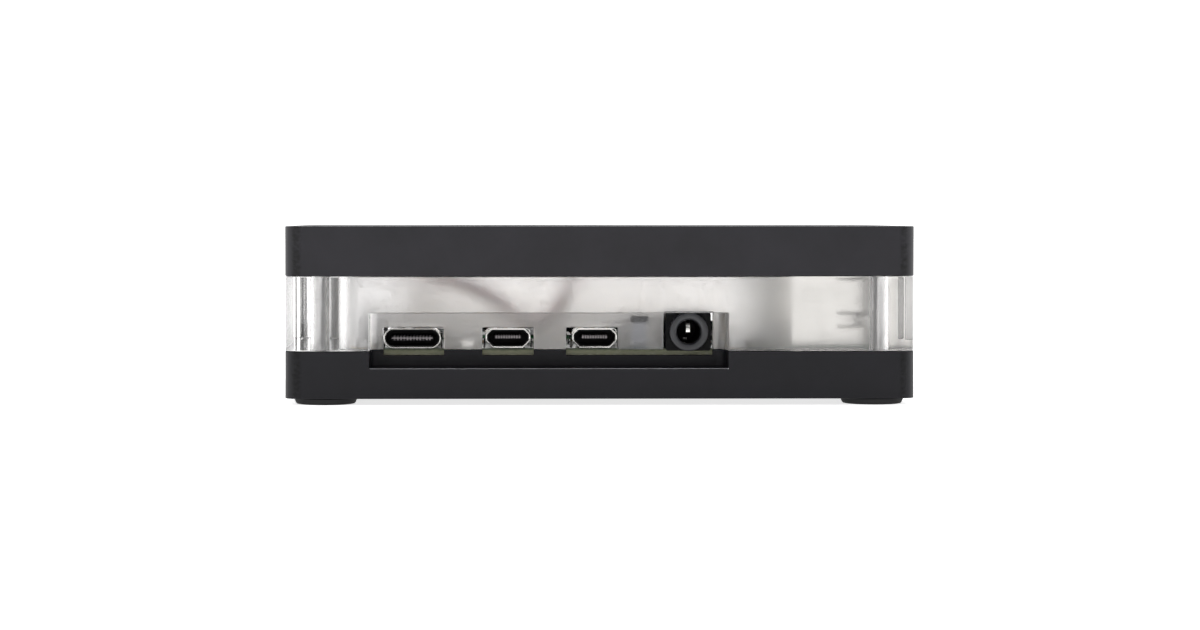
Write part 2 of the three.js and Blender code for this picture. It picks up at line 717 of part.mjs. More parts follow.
const PLUG = { x: -27.97, y: 25.77, width: 5.0, depth: 2.4, bottom: SEAT + HEADER_HEIGHT + 0.15, top: 18.9 };

function fanPlug() {
  const { x, y, width, depth, bottom, top } = PLUG;
  const hole = (side) => block(x + side * PIN_PITCH / 2, y, 1.2, 1.2, bottom - 1, PIN_TOP + 0.4);
  return cut(block(x, y, width, depth, bottom, top), hole(-1), hole(1));
}

// The leads run from the plug round the fan, hang in a slack loop before the processor, and rise to
// the fan's front side.
const RED_LEAD_ROUTE = [
  [-29.24, 25.77, 18.95],
  [-29.24, 25.6, 20.6],
  [-29.4, 23.2, 22.6],
  [-30.0, 17.0, 22.4],
  [-30.6, 8.0, 21.6],
  [-30.0, -2.0, 20.6],
  [-26.6, -10.6, 19.6],
  [-21.0, -13.6, 18.2],
  [-15.6, -14.0, 16.0],
  [-12.4, -14.0, 13.5],
  [-10.0, -14.0, 12.4],
  [-7.6, -14.0, 13.4],
  [-5.6, -14.0, 15.9],
  [-3.6, -13.8, 18.6],
  [-1.6, -12.8, 21.2],
  [-0.9, -10.85, 21.9],
];
const BLACK_LEAD_ROUTE = [
  [-26.7, 25.77, 18.95],
  [-26.7, 25.6, 20.6],
  [-26.9, 23.2, 22.6],
  [-27.6, 17.0, 22.4],
  [-28.4, 8.0, 21.6],
  [-28.2, -2.0, 20.6],
  [-25.0, -9.4, 18.9],
  [-20.2, -12.1, 17.2],
  [-15.2, -12.5, 14.9],
  [-12.2, -12.5, 13.0],
  [-9.6, -12.5, 12.2],
  [-6.9, -12.5, 13.1],
  [-4.6, -12.5, 15.4],
  [-4.0, -12.5, 18.4],
  [-3.6, -12.0, 20.8],
  [-3.2, -10.85, 21.5],
];

function lead(route) {
  const curve = new THREE.CatmullRomCurve3(route.map((point) => new THREE.Vector3(...point)));
  const section = new THREE.Shape();
  section.absarc(0, 0, LEAD_RADIUS, 0, 2 * Math.PI);
  const geometry = new THREE.ExtrudeGeometry(section, { steps: LEAD_STEPS, extrudePath: curve, curveSegments: 4 });
  return toSolid(geometry);
}

// ---------- the assembly ----------

addPiece('bottom_shell', bottomShell(), BLACK_ACETAL);
addPiece('middle_frame', middleFrame(), CLEAR_ACRYLIC);
addPiece('top_cover', topCover(), BLACK_ACETAL);
for (const [corner, sideX, sideY] of CORNERS) {
  addPiece(`case_screw_${corner}`, caseScrew(sideX * SCREW_X, sideY * SCREW_Y), STEEL);
  addPiece(`threaded_insert_${corner}`, threadedInsert(sideX * SCREW_X, sideY * SCREW_Y), BRASS);
  const foot = rod(sideX * FOOT_X, sideY * FOOT_Y, 0, FOOT_TOP, FOOT_RADIUS, 32, FOOT_BOTTOM_RADIUS);
  addPiece(`rubber_foot_${corner}`, foot, BLACK_RUBBER);
}

addPiece('circuit_board', circuitBoard(), GREEN_BOARD);
holePlaces.forEach(([x, y], i) => addPiece(`board_screw_${i + 1}`, boardScrew(x, y), STEEL));
addPiece('power_port_shell', powerShell(), STEEL);
addPiece('power_port_insert', powerInsert(), BLACK_PLASTIC);
addPiece('video_port_left_shell', videoShell(VIDEO_LEFT_X), STEEL);
addPiece('video_port_left_insert', videoInsert(VIDEO_LEFT_X), BLACK_PLASTIC);
addPiece('video_port_right_shell', videoShell(VIDEO_RIGHT_X), STEEL);
addPiece('video_port_right_insert', videoInsert(VIDEO_RIGHT_X), BLACK_PLASTIC);
addPiece('audio_jack_body', audioBody(), BLACK_PLASTIC);
addPiece('audio_jack_contact', audioContact(), STEEL);
['front', 'rear'].forEach((place, i) => {
  addPiece(`data_port_${place}_shell`, dataShell(DATA_SOCKET.centres[i]), STEEL);
  addPiece(`data_port_${place}_insert`, dataInsert(DATA_SOCKET.centres[i]), BLACK_PLASTIC);
});
addPiece('network_port_shield', networkShield(), STEEL);
addPiece('network_port_insert', networkInsert(), BLACK_PLASTIC);
addPiece('pin_header', pinHeader(MAIN_HEADER), GOLD);
addPiece('small_header', pinHeader(SMALL_HEADER), GOLD);
addPiece('processor', processor(), STEEL);
addPiece('memory_chip', block(4.0, 4.5, 10, 14.5, SEAT, SEAT + 1.0), CHIP_BLACK);
addPiece('data_hub_chip', block(20.5, -1.0, 8, 8, SEAT, SEAT + 0.9), CHIP_BLACK);
addPiece('network_chip', block(20.5, 9.5, 6, 6, SEAT, SEAT + 0.9), CHIP_BLACK);
addPiece('power_chip', block(-31.0, -14.0, 5, 5, SEAT, SEAT + 0.9), CHIP_BLACK);
addPiece('wireless_shield', wirelessShield(), STEEL);
addPiece('camera_connector_body', ribbonBody(CAMERA_RIBBON), WHITE_PLASTIC);
addPiece('camera_connector_latch', ribbonLatch(CAMERA_RIBBON), BLACK_PLASTIC);
addPiece('display_connector_body', ribbonBody(DISPLAY_RIBBON), WHITE_PLASTIC);
addPiece('display_connector_latch', ribbonLatch(DISPLAY_RIBBON), BLACK_PLASTIC);
addPiece('card_socket', cardSocket(), STEEL);
addPiece('memory_card', memoryCard(), CHIP_BLACK);

addPiece('fan_frame', fanFrame(), BLACK_PLASTIC);
addPiece('fan_stator', fanStator(), COPPER);
addPiece('fan_rotor', fanRotor(), BLACK_PLASTIC);
fanScrewPlaces().forEach(([x, y], i) => addPiece(`fan_screw_${i + 1}`, fanScrew(x, y), DARK_STEEL));
addPiece('fan_plug', fanPlug(), BLACK_PLASTIC);
addPiece('fan_lead_red', lead(RED_LEAD_ROUTE), RED_SLEEVE);
addPiece('fan_lead_black', lead(BLACK_LEAD_ROUTE), BLACK_SLEEVE);

export default pieces;
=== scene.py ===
import math
import random

import bmesh
import bpy
from mathutils import Matrix, Vector


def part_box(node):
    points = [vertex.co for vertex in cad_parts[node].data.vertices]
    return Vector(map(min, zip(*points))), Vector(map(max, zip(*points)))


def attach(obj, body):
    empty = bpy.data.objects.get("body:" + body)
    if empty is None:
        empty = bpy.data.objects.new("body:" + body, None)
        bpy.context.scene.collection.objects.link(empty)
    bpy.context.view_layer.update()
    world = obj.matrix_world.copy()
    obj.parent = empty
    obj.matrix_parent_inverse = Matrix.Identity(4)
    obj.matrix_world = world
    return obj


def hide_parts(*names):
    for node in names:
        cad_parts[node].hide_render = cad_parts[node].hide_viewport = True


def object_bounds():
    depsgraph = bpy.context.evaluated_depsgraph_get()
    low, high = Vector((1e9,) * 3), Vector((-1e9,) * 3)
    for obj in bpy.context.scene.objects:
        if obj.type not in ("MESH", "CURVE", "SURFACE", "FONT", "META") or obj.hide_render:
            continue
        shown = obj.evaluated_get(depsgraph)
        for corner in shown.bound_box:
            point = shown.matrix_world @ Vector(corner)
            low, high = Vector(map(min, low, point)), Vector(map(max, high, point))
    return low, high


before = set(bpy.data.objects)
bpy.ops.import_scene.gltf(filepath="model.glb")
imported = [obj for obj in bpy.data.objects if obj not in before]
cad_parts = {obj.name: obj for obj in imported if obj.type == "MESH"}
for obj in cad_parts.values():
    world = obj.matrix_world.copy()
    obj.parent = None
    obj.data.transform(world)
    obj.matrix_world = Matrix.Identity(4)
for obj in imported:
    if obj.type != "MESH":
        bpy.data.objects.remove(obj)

CAD_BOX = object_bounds()
MM = 0.001
CASE = "case"
random.seed(7)


# ---------- small tools ----------

def box_mm(node):
    """A CAD node's lowest and highest corners in millimetres."""
    low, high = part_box(node)
    return low / MM, high / MM


def span(node):
    """A CAD node's centre and size in millimetres."""
    low, high = box_mm(node)
    return (low + high) / 2, high - low


class Shape:
    """A mesh under construction, in millimetres. Every part added takes the current material index."""

    def __init__(self):
        self.bm = bmesh.new()
        self.index = 0

    def use(self, index):
        self.index = index
        return self

    def _claim(self, faces):
        """Gives new faces the current material and turns them outwards."""
        for face in faces:
            face.material_index = self.index
        bmesh.ops.recalc_face_normals(self.bm, faces=list(faces))

    def box(self, corner, opposite, bevel=0.0):
        """A box between any two opposite corners."""
        low = Vector([min(pair) for pair in zip(corner, opposite)])
        high = Vector([max(pair) for pair in zip(corner, opposite)])
        place = Matrix.Translation((low + high) / 2) @ Matrix.Diagonal((*(high - low), 1.0))
        verts = bmesh.ops.create_cube(self.bm, size=1.0, matrix=place)["verts"]
        if bevel > 0:
            edges = list({e for v in verts for e in v.link_edges})
            verts = bmesh.ops.bevel(self.bm, geom=edges, offset=bevel, segments=2, affect="EDGES",
                                    profile=0.5, clamp_overlap=True)["verts"]
        self._claim({f for v in verts for f in v.link_faces})

    def block(self, x, y, width, depth, z0, z1, bevel=0.0):
        half_x, half_y = width / 2, depth / 2
        self.box((x - half_x, y - half_y, z0), (x + half_x, y + half_y, z1), bevel)

    def lathe(self, profile, place=Matrix.Identity(4), segments=48):
        """Turns (radius, height) points round Z. A point at radius 0 closes the end."""
        rings = []
        for radius, height in profile:
            if radius <= 1e-6:
                rings.append([self.bm.verts.new(place @ Vector((0, 0, height)))])
                continue
            ring = []
            for i in range(segments):
                angle = 2 * math.pi * i / segments
                point = Vector((radius * math.cos(angle), radius * math.sin(angle), height))
                ring.append(self.bm.verts.new(place @ point))
            rings.append(ring)
        pairs = list(zip(rings, rings[1:]))
        if len(rings[0]) > 1 and len(rings[-1]) > 1:
            pairs.append((rings[-1], rings[0]))
        for lower, upper in pairs:
            if len(lower) > 1 or len(upper) > 1:
                self._bridge(lower, upper)
        self._claim({f for ring in rings for v in ring for f in v.link_faces})

    def _bridge(self, lower, upper):
        count = max(len(lower), len(upper))
        for i in range(count):
            j = (i + 1) % count
            if len(lower) == 1:
                corners = (lower[0], upper[j], upper[i])
            elif len(upper) == 1:
                corners = (lower[i], lower[j], upper[0])
            else:
                corners = (lower[i], lower[j], upper[j], upper[i])
            self.bm.faces.new(corners)

    def prism(self, outline, start, end, place=Matrix.Identity(4)):
        """A flat outline of (u, v) points carried from start to end along the third axis."""
        self.loft([[place @ Vector((u, v, w)) for u, v in outline] for w in (start, end)])

    def tube(self, outer, inner, start, end, place=Matrix.Identity(4)):
        """A wall between two outlines of the same count, carried from start to end."""
        rings = [
            [self.bm.verts.new(place @ Vector((u, v, w))) for u, v in outline]
            for outline, w in ((outer, start), (outer, end), (inner, end), (inner, start))
        ]
        self.close_ring(rings)

    def close_ring(self, rings):
        """A skin over rings of points, with the last joined back to the first."""
        for lower, upper in zip(rings, rings[1:] + rings[:1]):
            self._bridge(lower, upper)
        self._claim({f for ring in rings for v in ring for f in v.link_faces})

    def sheet(self, u_range, v_range, holes, start, end, place=Matrix.Identity(4)):
        """A plate from start to end along w, with rectangular holes given as ((u0, u1), (v0, v1))."""
        us = sorted({*u_range, *(u for hole in holes for u in hole[0])})
        vs = sorted({*v_range, *(v for hole in holes for v in hole[1])})
        corners = {}
        faces = []

        def is_open(i, j):
            if not (0 <= i < len(us) - 1 and 0 <= j < len(vs) - 1):
                return True
            u, v = (us[i] + us[i + 1]) / 2, (vs[j] + vs[j + 1]) / 2
            return any(a < u < b and c < v < d for (a, b), (c, d) in holes)

        def corner(i, j, k):
            if (i, j, k) not in corners:
                corners[i, j, k] = self.bm.verts.new(place @ Vector((us[i], vs[j], (start, end)[k])))
            return corners[i, j, k]

        for i in range(len(us) - 1):
            for j in range(len(vs) - 1):
                if is_open(i, j):
                    continue
                for k in (0, 1):
                    ring = ((i, j), (i + 1, j), (i + 1, j + 1), (i, j + 1))
                    faces.append(self.bm.faces.new([corner(a, b, k) for a, b in ring]))
                rims = (
                    (i - 1, j, (i, j), (i, j + 1)),
                    (i + 1, j, (i + 1, j), (i + 1, j + 1)),
                    (i, j - 1, (i, j), (i + 1, j)),
                    (i, j + 1, (i, j + 1), (i + 1, j + 1)),
                )
                for next_i, next_j, a, b in rims:
                    if is_open(next_i, next_j):
                        wall = (corner(*a, 0), corner(*b, 0), corner(*b, 1), corner(*a, 1))
                        faces.append(self.bm.faces.new(wall))
        self._claim(faces)

    def loft(self, rings):
        """A skin over rings of equal count, closed at both ends."""
        loops = [[self.bm.verts.new(point) for point in ring] for ring in rings]
        for lower, upper in zip(loops, loops[1:]):
            self._bridge(lower, upper)
        self.bm.faces.new(loops[0])
        self.bm.faces.new(loops[-1])
        self._claim({f for loop in loops for v in loop for f in v.link_faces})

    def thread(self, x, y, z0, z1, radius, pitch=0.5, depth=0.16, segments=20):
        """An upright bar with a screw thread cut into it."""
        steps = 4
        count = int((z1 - z0) / pitch * steps)
        rings = []
        for k in range(count + 1):
            z = z0 + (z1 - z0) * k / count
            ring = []
            for i in range(segments):
                phase = (z / pitch - i / segments) % 1.0
                r = radius - depth * abs(2 * phase - 1)
                angle = 2 * math.pi * i / segments
                ring.append((x + r * math.cos(angle), y + r * math.sin(angle), z))
            rings.append(ring)
        self.loft(rings)

    def wire(self, points, radius, sides=10):
        """A round bar along a list of points."""
        points = [Vector(p) for p in points]
        up = Vector((0.31, 0.2, 0.93))
        rings = []
        for i, point in enumerate(points):
            along = (points[min(i + 1, len(points) - 1)] - points[max(i - 1, 0)]).normalized()
            across = along.cross(up).normalized()
            up = across.cross(along)
            turns = [2 * math.pi * k / sides for k in range(sides)]
            rings.append([point + (across * math.cos(a) + up * math.sin(a)) * radius for a in turns])
        self.loft(rings)

    def piece(self, name, materials, slot, replaces=(), body=CASE, bevel=0.0):
        """Makes the object, in metres, with rounded edges where bevel is given."""
        bmesh.ops.scale(self.bm, vec=(MM, MM, MM), verts=self.bm.verts)
        settle(name, self.bm, materials, slot, replaces, body, bevel)


def settle(name, bm, materials, slot, replaces=(), body=CASE, bevel=0.0, angle=35):
    """Makes a piece of a finished shape: it rides on a body, with rounded edges and even shading."""
    mesh = bpy.data.meshes.new(name)
    bm.to_mesh(mesh)
    bm.free()
    for material in materials:
        mesh.materials.append(material)
    piece = bpy.data.objects.new(name, mesh)
    bpy.context.scene.collection.objects.link(piece)
    if bevel > 0:
        round_edges = piece.modifiers.new("edges", "BEVEL")
        round_edges.width = bevel * MM
        round_edges.segments = 2
        round_edges.limit_method = "ANGLE"
        round_edges.angle_limit = math.radians(angle)
        round_edges.use_clamp_overlap = False
        round_edges.miter_outer = "MITER_ARC"
    mesh.shade_smooth()
    mesh.set_sharp_from_angle(angle=math.radians(angle + 10))
    even = piece.modifiers.new("normals", "WEIGHTED_NORMAL")
    even.keep_sharp = True
    even.weight = 80
    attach(piece, body)
    if replaces:
        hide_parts(*replaces)
    return piece


def cad_copy(node):
    """A CAD node's mesh as a new mesh with its flat faces whole."""
    bm = bmesh.new()
    bm.from_mesh(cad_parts[node].data)
    bmesh.ops.remove_doubles(bm, verts=bm.verts, dist=2e-6)
    bmesh.ops.dissolve_limit(bm, angle_limit=math.radians(0.4), verts=bm.verts, edges=bm.edges,
                             use_dissolve_boundaries=False, delimit=set())
    for face in bm.faces:
        face.material_index = 0
    return bm


def from_cad(node, name, materials, slot, bevel=0.08, body=CASE, pick=None):
    """A CAD node's own shape with rounded edges. pick gives a face's material from its centre and normal."""
    bm = cad_copy(node)
    if pick:
        for face in bm.faces:
            face.material_index = pick(face.calc_center_median() / MM, face.normal)
    return settle(name, bm, materials, slot, [node], body, bevel)


def spread(count, pitch):
    """The offsets of a row of things set out evenly about zero."""
    return [(k - (count - 1) / 2) * pitch for k in range(count)]


def strip(points, thickness):
    """The outline of a bent strip of sheet that follows (u, v) points."""
    left, right = [], []
    for i, (u, v) in enumerate(points):
        before, after = Vector(points[max(i - 1, 0)]), Vector(points[min(i + 1, len(points) - 1)])
        along = (after - before).normalized()
        side = Vector((-along.y, along.x)) * thickness / 2
        left.append((u + side.x, v + side.y))
        right.append((u - side.x, v - side.y))
    return left + right[::-1]


def smooth_path(points, steps=6):
    """A Catmull-Rom curve through points."""
    points = [Vector(p) for p in points]
    ends = [points[0] * 2 - points[1], *points, points[-1] * 2 - points[-2]]
    path = []
    for a, b, c, d in zip(ends, ends[1:], ends[2:], ends[3:]):
        for k in range(steps):
            t = k / steps
            path.append(0.5 * (2 * b + (c - a) * t + (2 * a - 5 * b + 4 * c - d) * t ** 2
                               + (3 * b - a - 3 * c + d) * t ** 3))
    return [*path, points[-1]]


def arc(cx, cy, radius, start, end, steps):
    """Points on an arc, angles in degrees, both ends included."""
    angles = [math.radians(start + (end - start) * i / steps) for i in range(steps + 1)]
    return [(cx + radius * math.cos(a), cy + radius * math.sin(a)) for a in angles]


def rounded(x0, x1, y0, y1, radius, steps=6):
    """A rectangle outline with round corners, anticlockwise."""
    return (
        arc(x1 - radius, y0 + radius, radius, -90, 0, steps)
        + arc(x1 - radius, y1 - radius, radius, 0, 90, steps)
        + arc(x0 + radius, y1 - radius, radius, 90, 180, steps)
        + arc(x0 + radius, y0 + radius, radius, 180, 270, steps)
    )


# Placing matrices: a shape drawn in (u, v) and carried along w
ALONG_Y = Matrix(((1, 0, 0, 0), (0, 0, 1, 0), (0, 1, 0, 0), (0, 0, 0, 1)))  # u to X, v to Z, w to Y
ALONG_X = Matrix(((0, 0, 1, 0), (1, 0, 0, 0), (0, 1, 0, 0), (0, 0, 0, 1)))  # u to Y, v to Z, w to X
UPRIGHT = Matrix.Identity(4)  # u to X, v to Y, w to Z


# ---------- camera ----------

CAMERA_X = -18.5
CAMERA_Z = 29.2
CAMERA_BACK = 430.0  # in front of the case's front face
FOCAL_LENGTH = 84.2
SENSOR_WIDTH = 36.0
TILT_DOWN = 1.0  # degrees
TURN_RIGHT = 1.0
SHIFT_X, SHIFT_Y = 0.1, -0.0833  # of the picture's width, before the tilt and the turn are made up for


def make_camera():
    front = CAD_BOX[0].y / MM
    data = bpy.data.cameras.new("camera")
    data.lens = FOCAL_LENGTH
    data.sensor_width = SENSOR_WIDTH
    data.shift_x = SHIFT_X - FOCAL_LENGTH / SENSOR_WIDTH * math.tan(math.radians(TURN_RIGHT))
    data.shift_y = SHIFT_Y + FOCAL_LENGTH / SENSOR_WIDTH * math.tan(math.radians(TILT_DOWN))
    data.clip_start, data.clip_end = 0.01, 10.0
    camera = bpy.data.objects.new("camera", data)
    camera.location = Vector((CAMERA_X, front - CAMERA_BACK, CAMERA_Z)) * MM
    camera.rotation_euler = (math.radians(90 - TILT_DOWN), 0, math.radians(-TURN_RIGHT))
    bpy.context.scene.collection.objects.link(camera)
    bpy.context.scene.camera = camera


make_camera()


# ---------- materials ----------

class Nodes:
    """A material's node tree with short calls for what the materials below share."""

    def __init__(self, name):
        self.material = bpy.data.materials.new(name)
        self.material.use_nodes = True
        self.tree = self.material.node_tree
        self.shader = self.tree.nodes["Principled BSDF"]
        self.place = self.add("ShaderNodeTexCoord").outputs["Object"]

    def add(self, kind, **settings):
        node = self.tree.nodes.new(kind)
        for key, value in settings.items():
            setattr(node, key, value)
        return node

    def link(self, source, target):
        self.tree.links.new(source, target)

    def set(self, **values):
        for key, value in values.items():
            self.shader.inputs[key.replace("_", " ")].default_value = value
        return self

    def stretched(self, scale):
        mapping = self.add("ShaderNodeMapping")
        mapping.inputs["Scale"].default_value = scale
        self.link(self.place, mapping.inputs["Vector"])
        return mapping.outputs["Vector"]

    def noise(self, size, detail=3.0, rough=0.55, stretch=(1, 1, 1)):
        """Noise whose features are about size millimetres across."""
        node = self.add("ShaderNodeTexNoise")
        node.inputs["Scale"].default_value = 1.0
        node.inputs["Detail"].default_value = detail
        node.inputs["Roughness"].default_value = rough
        scale = [s / (size * MM) for s in stretch]
        self.link(self.stretched(scale), node.inputs["Vector"])
        return node.outputs["Fac"]

    def bands(self, pitch, axis="X", distortion=0.0):
        node = self.add("ShaderNodeTexWave", wave_type="BANDS", bands_direction=axis, wave_profile="SIN")
        node.inputs["Scale"].default_value = 1.0
        node.inputs["Distortion"].default_value = distortion
        scale = math.pi * 0.1 / (pitch * MM)
        self.link(self.stretched((scale, scale, scale)), node.inputs["Vector"])
        return node.outputs["Fac"]

    def remap(self, value, low, high, from_low=0.3, from_high=0.7):
        node = self.add("ShaderNodeMapRange")
        node.inputs["From Min"].default_value = from_low
        node.inputs["From Max"].default_value = from_high
        node.inputs["To Min"].default_value = low
        node.inputs["To Max"].default_value = high
        self.link(value, node.inputs["Value"])
        return node.outputs["Result"]

    def math(self, operation, one, two):
        node = self.add("ShaderNodeMath", operation=operation)
        for socket, value in zip(node.inputs, (one, two)):
            if isinstance(value, (int, float)):
                socket.default_value = value
            else:
                self.link(value, socket)
        return node.outputs["Value"]

    def ramp(self, value, *stops):
        """A colour ramp with (position, (r, g, b)) stops."""
        node = self.add("ShaderNodeValToRGB")
        elements = node.color_ramp.elements
        while len(elements) < len(stops):
            elements.new(0.5)
        for element, (position, colour) in zip(elements, stops):
            element.position = position
            element.color = (*colour, 1.0)
        self.link(value, node.inputs["Fac"])
        return node.outputs["Color"]

    def colour(self, value, *stops):
        self.link(self.ramp(value, *stops), self.shader.inputs["Base Color"])
        return self

    def roughness(self, value, low, high):
        self.link(self.remap(value, low, high), self.shader.inputs["Roughness"])
        return self

    def bump(self, *layers):
        """Stacked bumps, each (value, depth in millimetres)."""
        normal = None
        for value, depth in layers:
            node = self.add("ShaderNodeBump")
            node.inputs["Strength"].default_value = 1.0
            node.inputs["Distance"].default_value = depth * MM
            self.link(value, node.inputs["Height"])
            if normal is not None:
                self.link(normal, node.inputs["Normal"])
            normal = node.outputs["Normal"]
        self.link(normal, self.shader.inputs["Normal"])
        return self


def shade(colour, factor):
    return tuple(c * factor for c in colour)


def moulded(name, colour, roughness=0.45, grain=0.25, depth=0.006, specular=0.5):
    """Moulded or milled plastic: fine texture and slight mottling."""
    n = Nodes(name)
    fine = n.noise(grain, 4)
    broad = n.noise(6.0, 2)
    n.colour(broad, (0.3, shade(colour, 0.85)), (0.7, shade(colour, 1.15)))
    n.roughness(fine, roughness - 0.06, roughness + 0.08)
    n.set(Specular_IOR_Level=specular)
    return n.bump((fine, depth)).material


def plated(name, colour, roughness=0.25, stretch=(1, 1, 1), grain=0.3, depth=0.002):
    """Plated or stamped metal with faint rolling marks."""
    n = Nodes(name)
    fine = n.noise(grain, 4, 0.6, stretch)
    broad = n.noise(4.0, 3)
    n.colour(broad, (0.3, shade(colour, 0.86)), (0.7, colour))
    n.roughness(fine, roughness - 0.07, roughness + 0.1)
    n.set(Metallic=1.0)
    return n.bump((fine, depth)).material


CORNER_ZONE = 2.7  # how far the round corners reach in from the case's sides


def acetal(name, colour, specular):
    """Milled black acetal: satin, with a fine tooth and faint upright cutter marks. Near the round corners,
    chatter marks are bumped in and the colour is painted darker as shade.
    """
    n = Nodes(name)
    fine = n.noise(0.18, 5, 0.65)
    broad = n.noise(9.0, 3)
    x_start, y_start = ((reach / MM - CORNER_ZONE) * MM for reach in CAD_BOX[1].xy)
    streaks = n.noise(0.35, 3, 0.6, (1, 1, 0.05))
    split = n.add("ShaderNodeSeparateXYZ")
    n.link(n.place, split.inputs[0])
    across = n.math("ABSOLUTE", split.outputs["X"], 0)
    along = n.math("ABSOLUTE", split.outputs["Y"], 0)
    inner_x = n.remap(across, 0, 1, x_start, x_start + 0.5 * MM)
    outer_x = n.remap(across, 1, 0, x_start + 1.2 * MM, x_start + 1.9 * MM)
    inner_y = n.remap(along, 0, 1, y_start, y_start + 0.3 * MM)
    corner = n.math("MULTIPLY", n.math("MULTIPLY", inner_x, inner_y), outer_x)
    chatter_and_shade = n.math("MULTIPLY", corner, n.remap(n.noise(0.5, 2, 0.5, (0.5, 0.5, 1)), 0.35, 1))
    # the round corner band is painted darker as shade, on top of its chatter bumps
    tone = n.math("SUBTRACT", broad, n.math("MULTIPLY", chatter_and_shade, 0.55))
    n.colour(tone, (0.0, shade(colour, 0.15)), (0.3, shade(colour, 0.8)), (0.7, shade(colour, 1.2)))
    n.roughness(broad, 0.42, 0.5)
    n.set(Specular_IOR_Level=specular)
    return n.bump((fine, 0.004), (streaks, 0.002), (chatter_and_shade, 0.06)).material


CUTTER_LINES = (3, 0.6, (0.03, 0.03, 1))  # noise settings: detail, roughness, stretch
FINE_GRAIN = (4, 0.55, (1, 1, 1))


def acrylic(name, roughness, spread_by, marks, size, depth):
    """Clear acrylic whose faces carry marks of a size and depth in millimetres."""
    n = Nodes(name)
    n.set(Transmission_Weight=1.0, IOR=1.49)
    tint = (0.99, 0.982, 0.978)
    n.colour(n.noise(5.0, 3), (0.3, shade(tint, 0.985)), (0.7, tint))
    n.roughness(n.noise(0.8, 4), max(roughness - spread_by, 0.0), roughness + spread_by)
    return n.bump((n.noise(size, *marks), depth)).material


def circuit_mask():
    """Green solder mask with copper tracks showing faintly under it."""
    n = Nodes("solder_mask")
    across = n.math("GREATER_THAN", n.noise(7.0, 1), 0.5)
    tracks = n.add("ShaderNodeMix", data_type="FLOAT")
    n.link(across, tracks.inputs["Factor"])
    n.link(n.bands(0.9, "X", 0.4), tracks.inputs[2])
    n.link(n.bands(0.9, "Y", 0.4), tracks.inputs[3])
    poured = n.remap(n.noise(5.0, 2), 0, 1, 0.42, 0.5)
    copper = n.math("MULTIPLY", n.remap(tracks.outputs[0], 0, 1, 0.55, 0.7), poured)
    n.colour(copper, (0.0, (0.012, 0.075, 0.03)), (1.0, (0.03, 0.16, 0.06)))
    n.roughness(n.noise(0.4, 3), 0.25, 0.4)
    n.set(Coat_Weight=0.3, Coat_Roughness=0.15)
    return n.bump((copper, 0.02), (n.noise(0.25, 3), 0.003)).material


def board_edge():
    """The routed edge: olive fibreglass with paler strands, darker towards the top and paler towards the
    bottom, where the pale band is a painted highlight.
    """
    n = Nodes("fibreglass_edge")
    low, high = box_mm("circuit_board")
    split = n.add("ShaderNodeSeparateXYZ")
    n.link(n.place, split.inputs[0])
    level = n.remap(split.outputs["Z"], 0, 1, low.z * MM, high.z * MM)
    strands = n.math("MULTIPLY", n.noise(0.22, 4, 0.6, (0.25, 0.25, 1.0)), 0.45)
    # the pale band low on the edge is a painted highlight
    n.colour(
        n.math("ADD", level, n.math("SUBTRACT", strands, 0.22)),
        (0.0, (0.46, 0.45, 0.34)), (0.22, (0.52, 0.51, 0.4)), (0.34, (0.3, 0.3, 0.21)),
        (0.7, (0.24, 0.245, 0.155)), (0.86, (0.11, 0.125, 0.075)), (1.0, (0.05, 0.075, 0.045)),
    )
    n.roughness(strands, 0.6, 0.8)
    return n.bump((n.noise(0.15, 4, 0.6, (0.3, 0.3, 1.0)), 0.02)).material


# The lid and the base are one black acetal: the base is coloured darker as painted shade, and the lid lighter
# as painted light.
ACETAL_LID_LIT = acetal("black_acetal_lid_lit", (0.0122, 0.0115, 0.0148), 0.27)
ACETAL_BASE_SHADED = acetal("black_acetal_base_painted_shade", (0.0068, 0.0066, 0.0088), 0.2)
# A light grey for a black part: a painted highlight along the notch floor's front edge.
ACETAL_PAINTED_HIGHLIGHT = moulded("black_acetal_painted_highlight_edge", (0.7, 0.71, 0.75), 0.35, 0.3, 0.004)
ACRYLIC_FACE = acrylic("acrylic_polished", 0.04, 0.02, FINE_GRAIN, 3.0, 0.003)
ACRYLIC_MILLED = acrylic("acrylic_milled", 0.5, 0.05, CUTTER_LINES, 0.45, 0.014)
ACRYLIC_JOINT = acrylic("acrylic_joint", 0.15, 0.05, FINE_GRAIN, 0.6, 0.003)
ACRYLIC_EDGE = acrylic("acrylic_edge", 0.35, 0.05, FINE_GRAIN, 0.3, 0.01)
RUBBER = moulded("black_rubber", (0.012, 0.012, 0.0125), 0.78, 0.12, 0.012, 0.3)
BLACK_DEEP = moulded("black_deep", (0.004, 0.004, 0.0042), 0.5, 0.15, 0.004, 0.15)
BLACK_NYLON = moulded("black_nylon", (0.008, 0.008, 0.0085), 0.42, 0.15, 0.004)
BLACK_GLOSSY = moulded("black_glossy", (0.026, 0.027, 0.031), 0.35, 0.2, 0.002)
CHIP_BODY = moulded("chip_epoxy", (0.018, 0.018, 0.019), 0.6, 0.08, 0.006)
PALE_NYLON = moulded("pale_nylon", (0.4, 0.41, 0.45), 0.5, 0.2, 0.004)
GREY_LATCH = moulded("grey_latch", (0.045, 0.045, 0.05), 0.45, 0.2, 0.004)
FAN_PLASTIC = moulded("fan_plastic", (0.013, 0.013, 0.014), 0.4, 0.3, 0.003)
CERAMIC = moulded("tan_ceramic", (0.3, 0.2, 0.11), 0.45, 0.1, 0.003)
FERRITE = moulded("grey_ferrite", (0.05, 0.05, 0.052), 0.7, 0.1, 0.008)
RED_PVC = moulded("red_sleeve", (0.6, 0.07, 0.09), 0.4, 0.5, 0.003)
BLACK_PVC = moulded("black_sleeve", (0.012, 0.012, 0.013), 0.4, 0.5, 0.003)
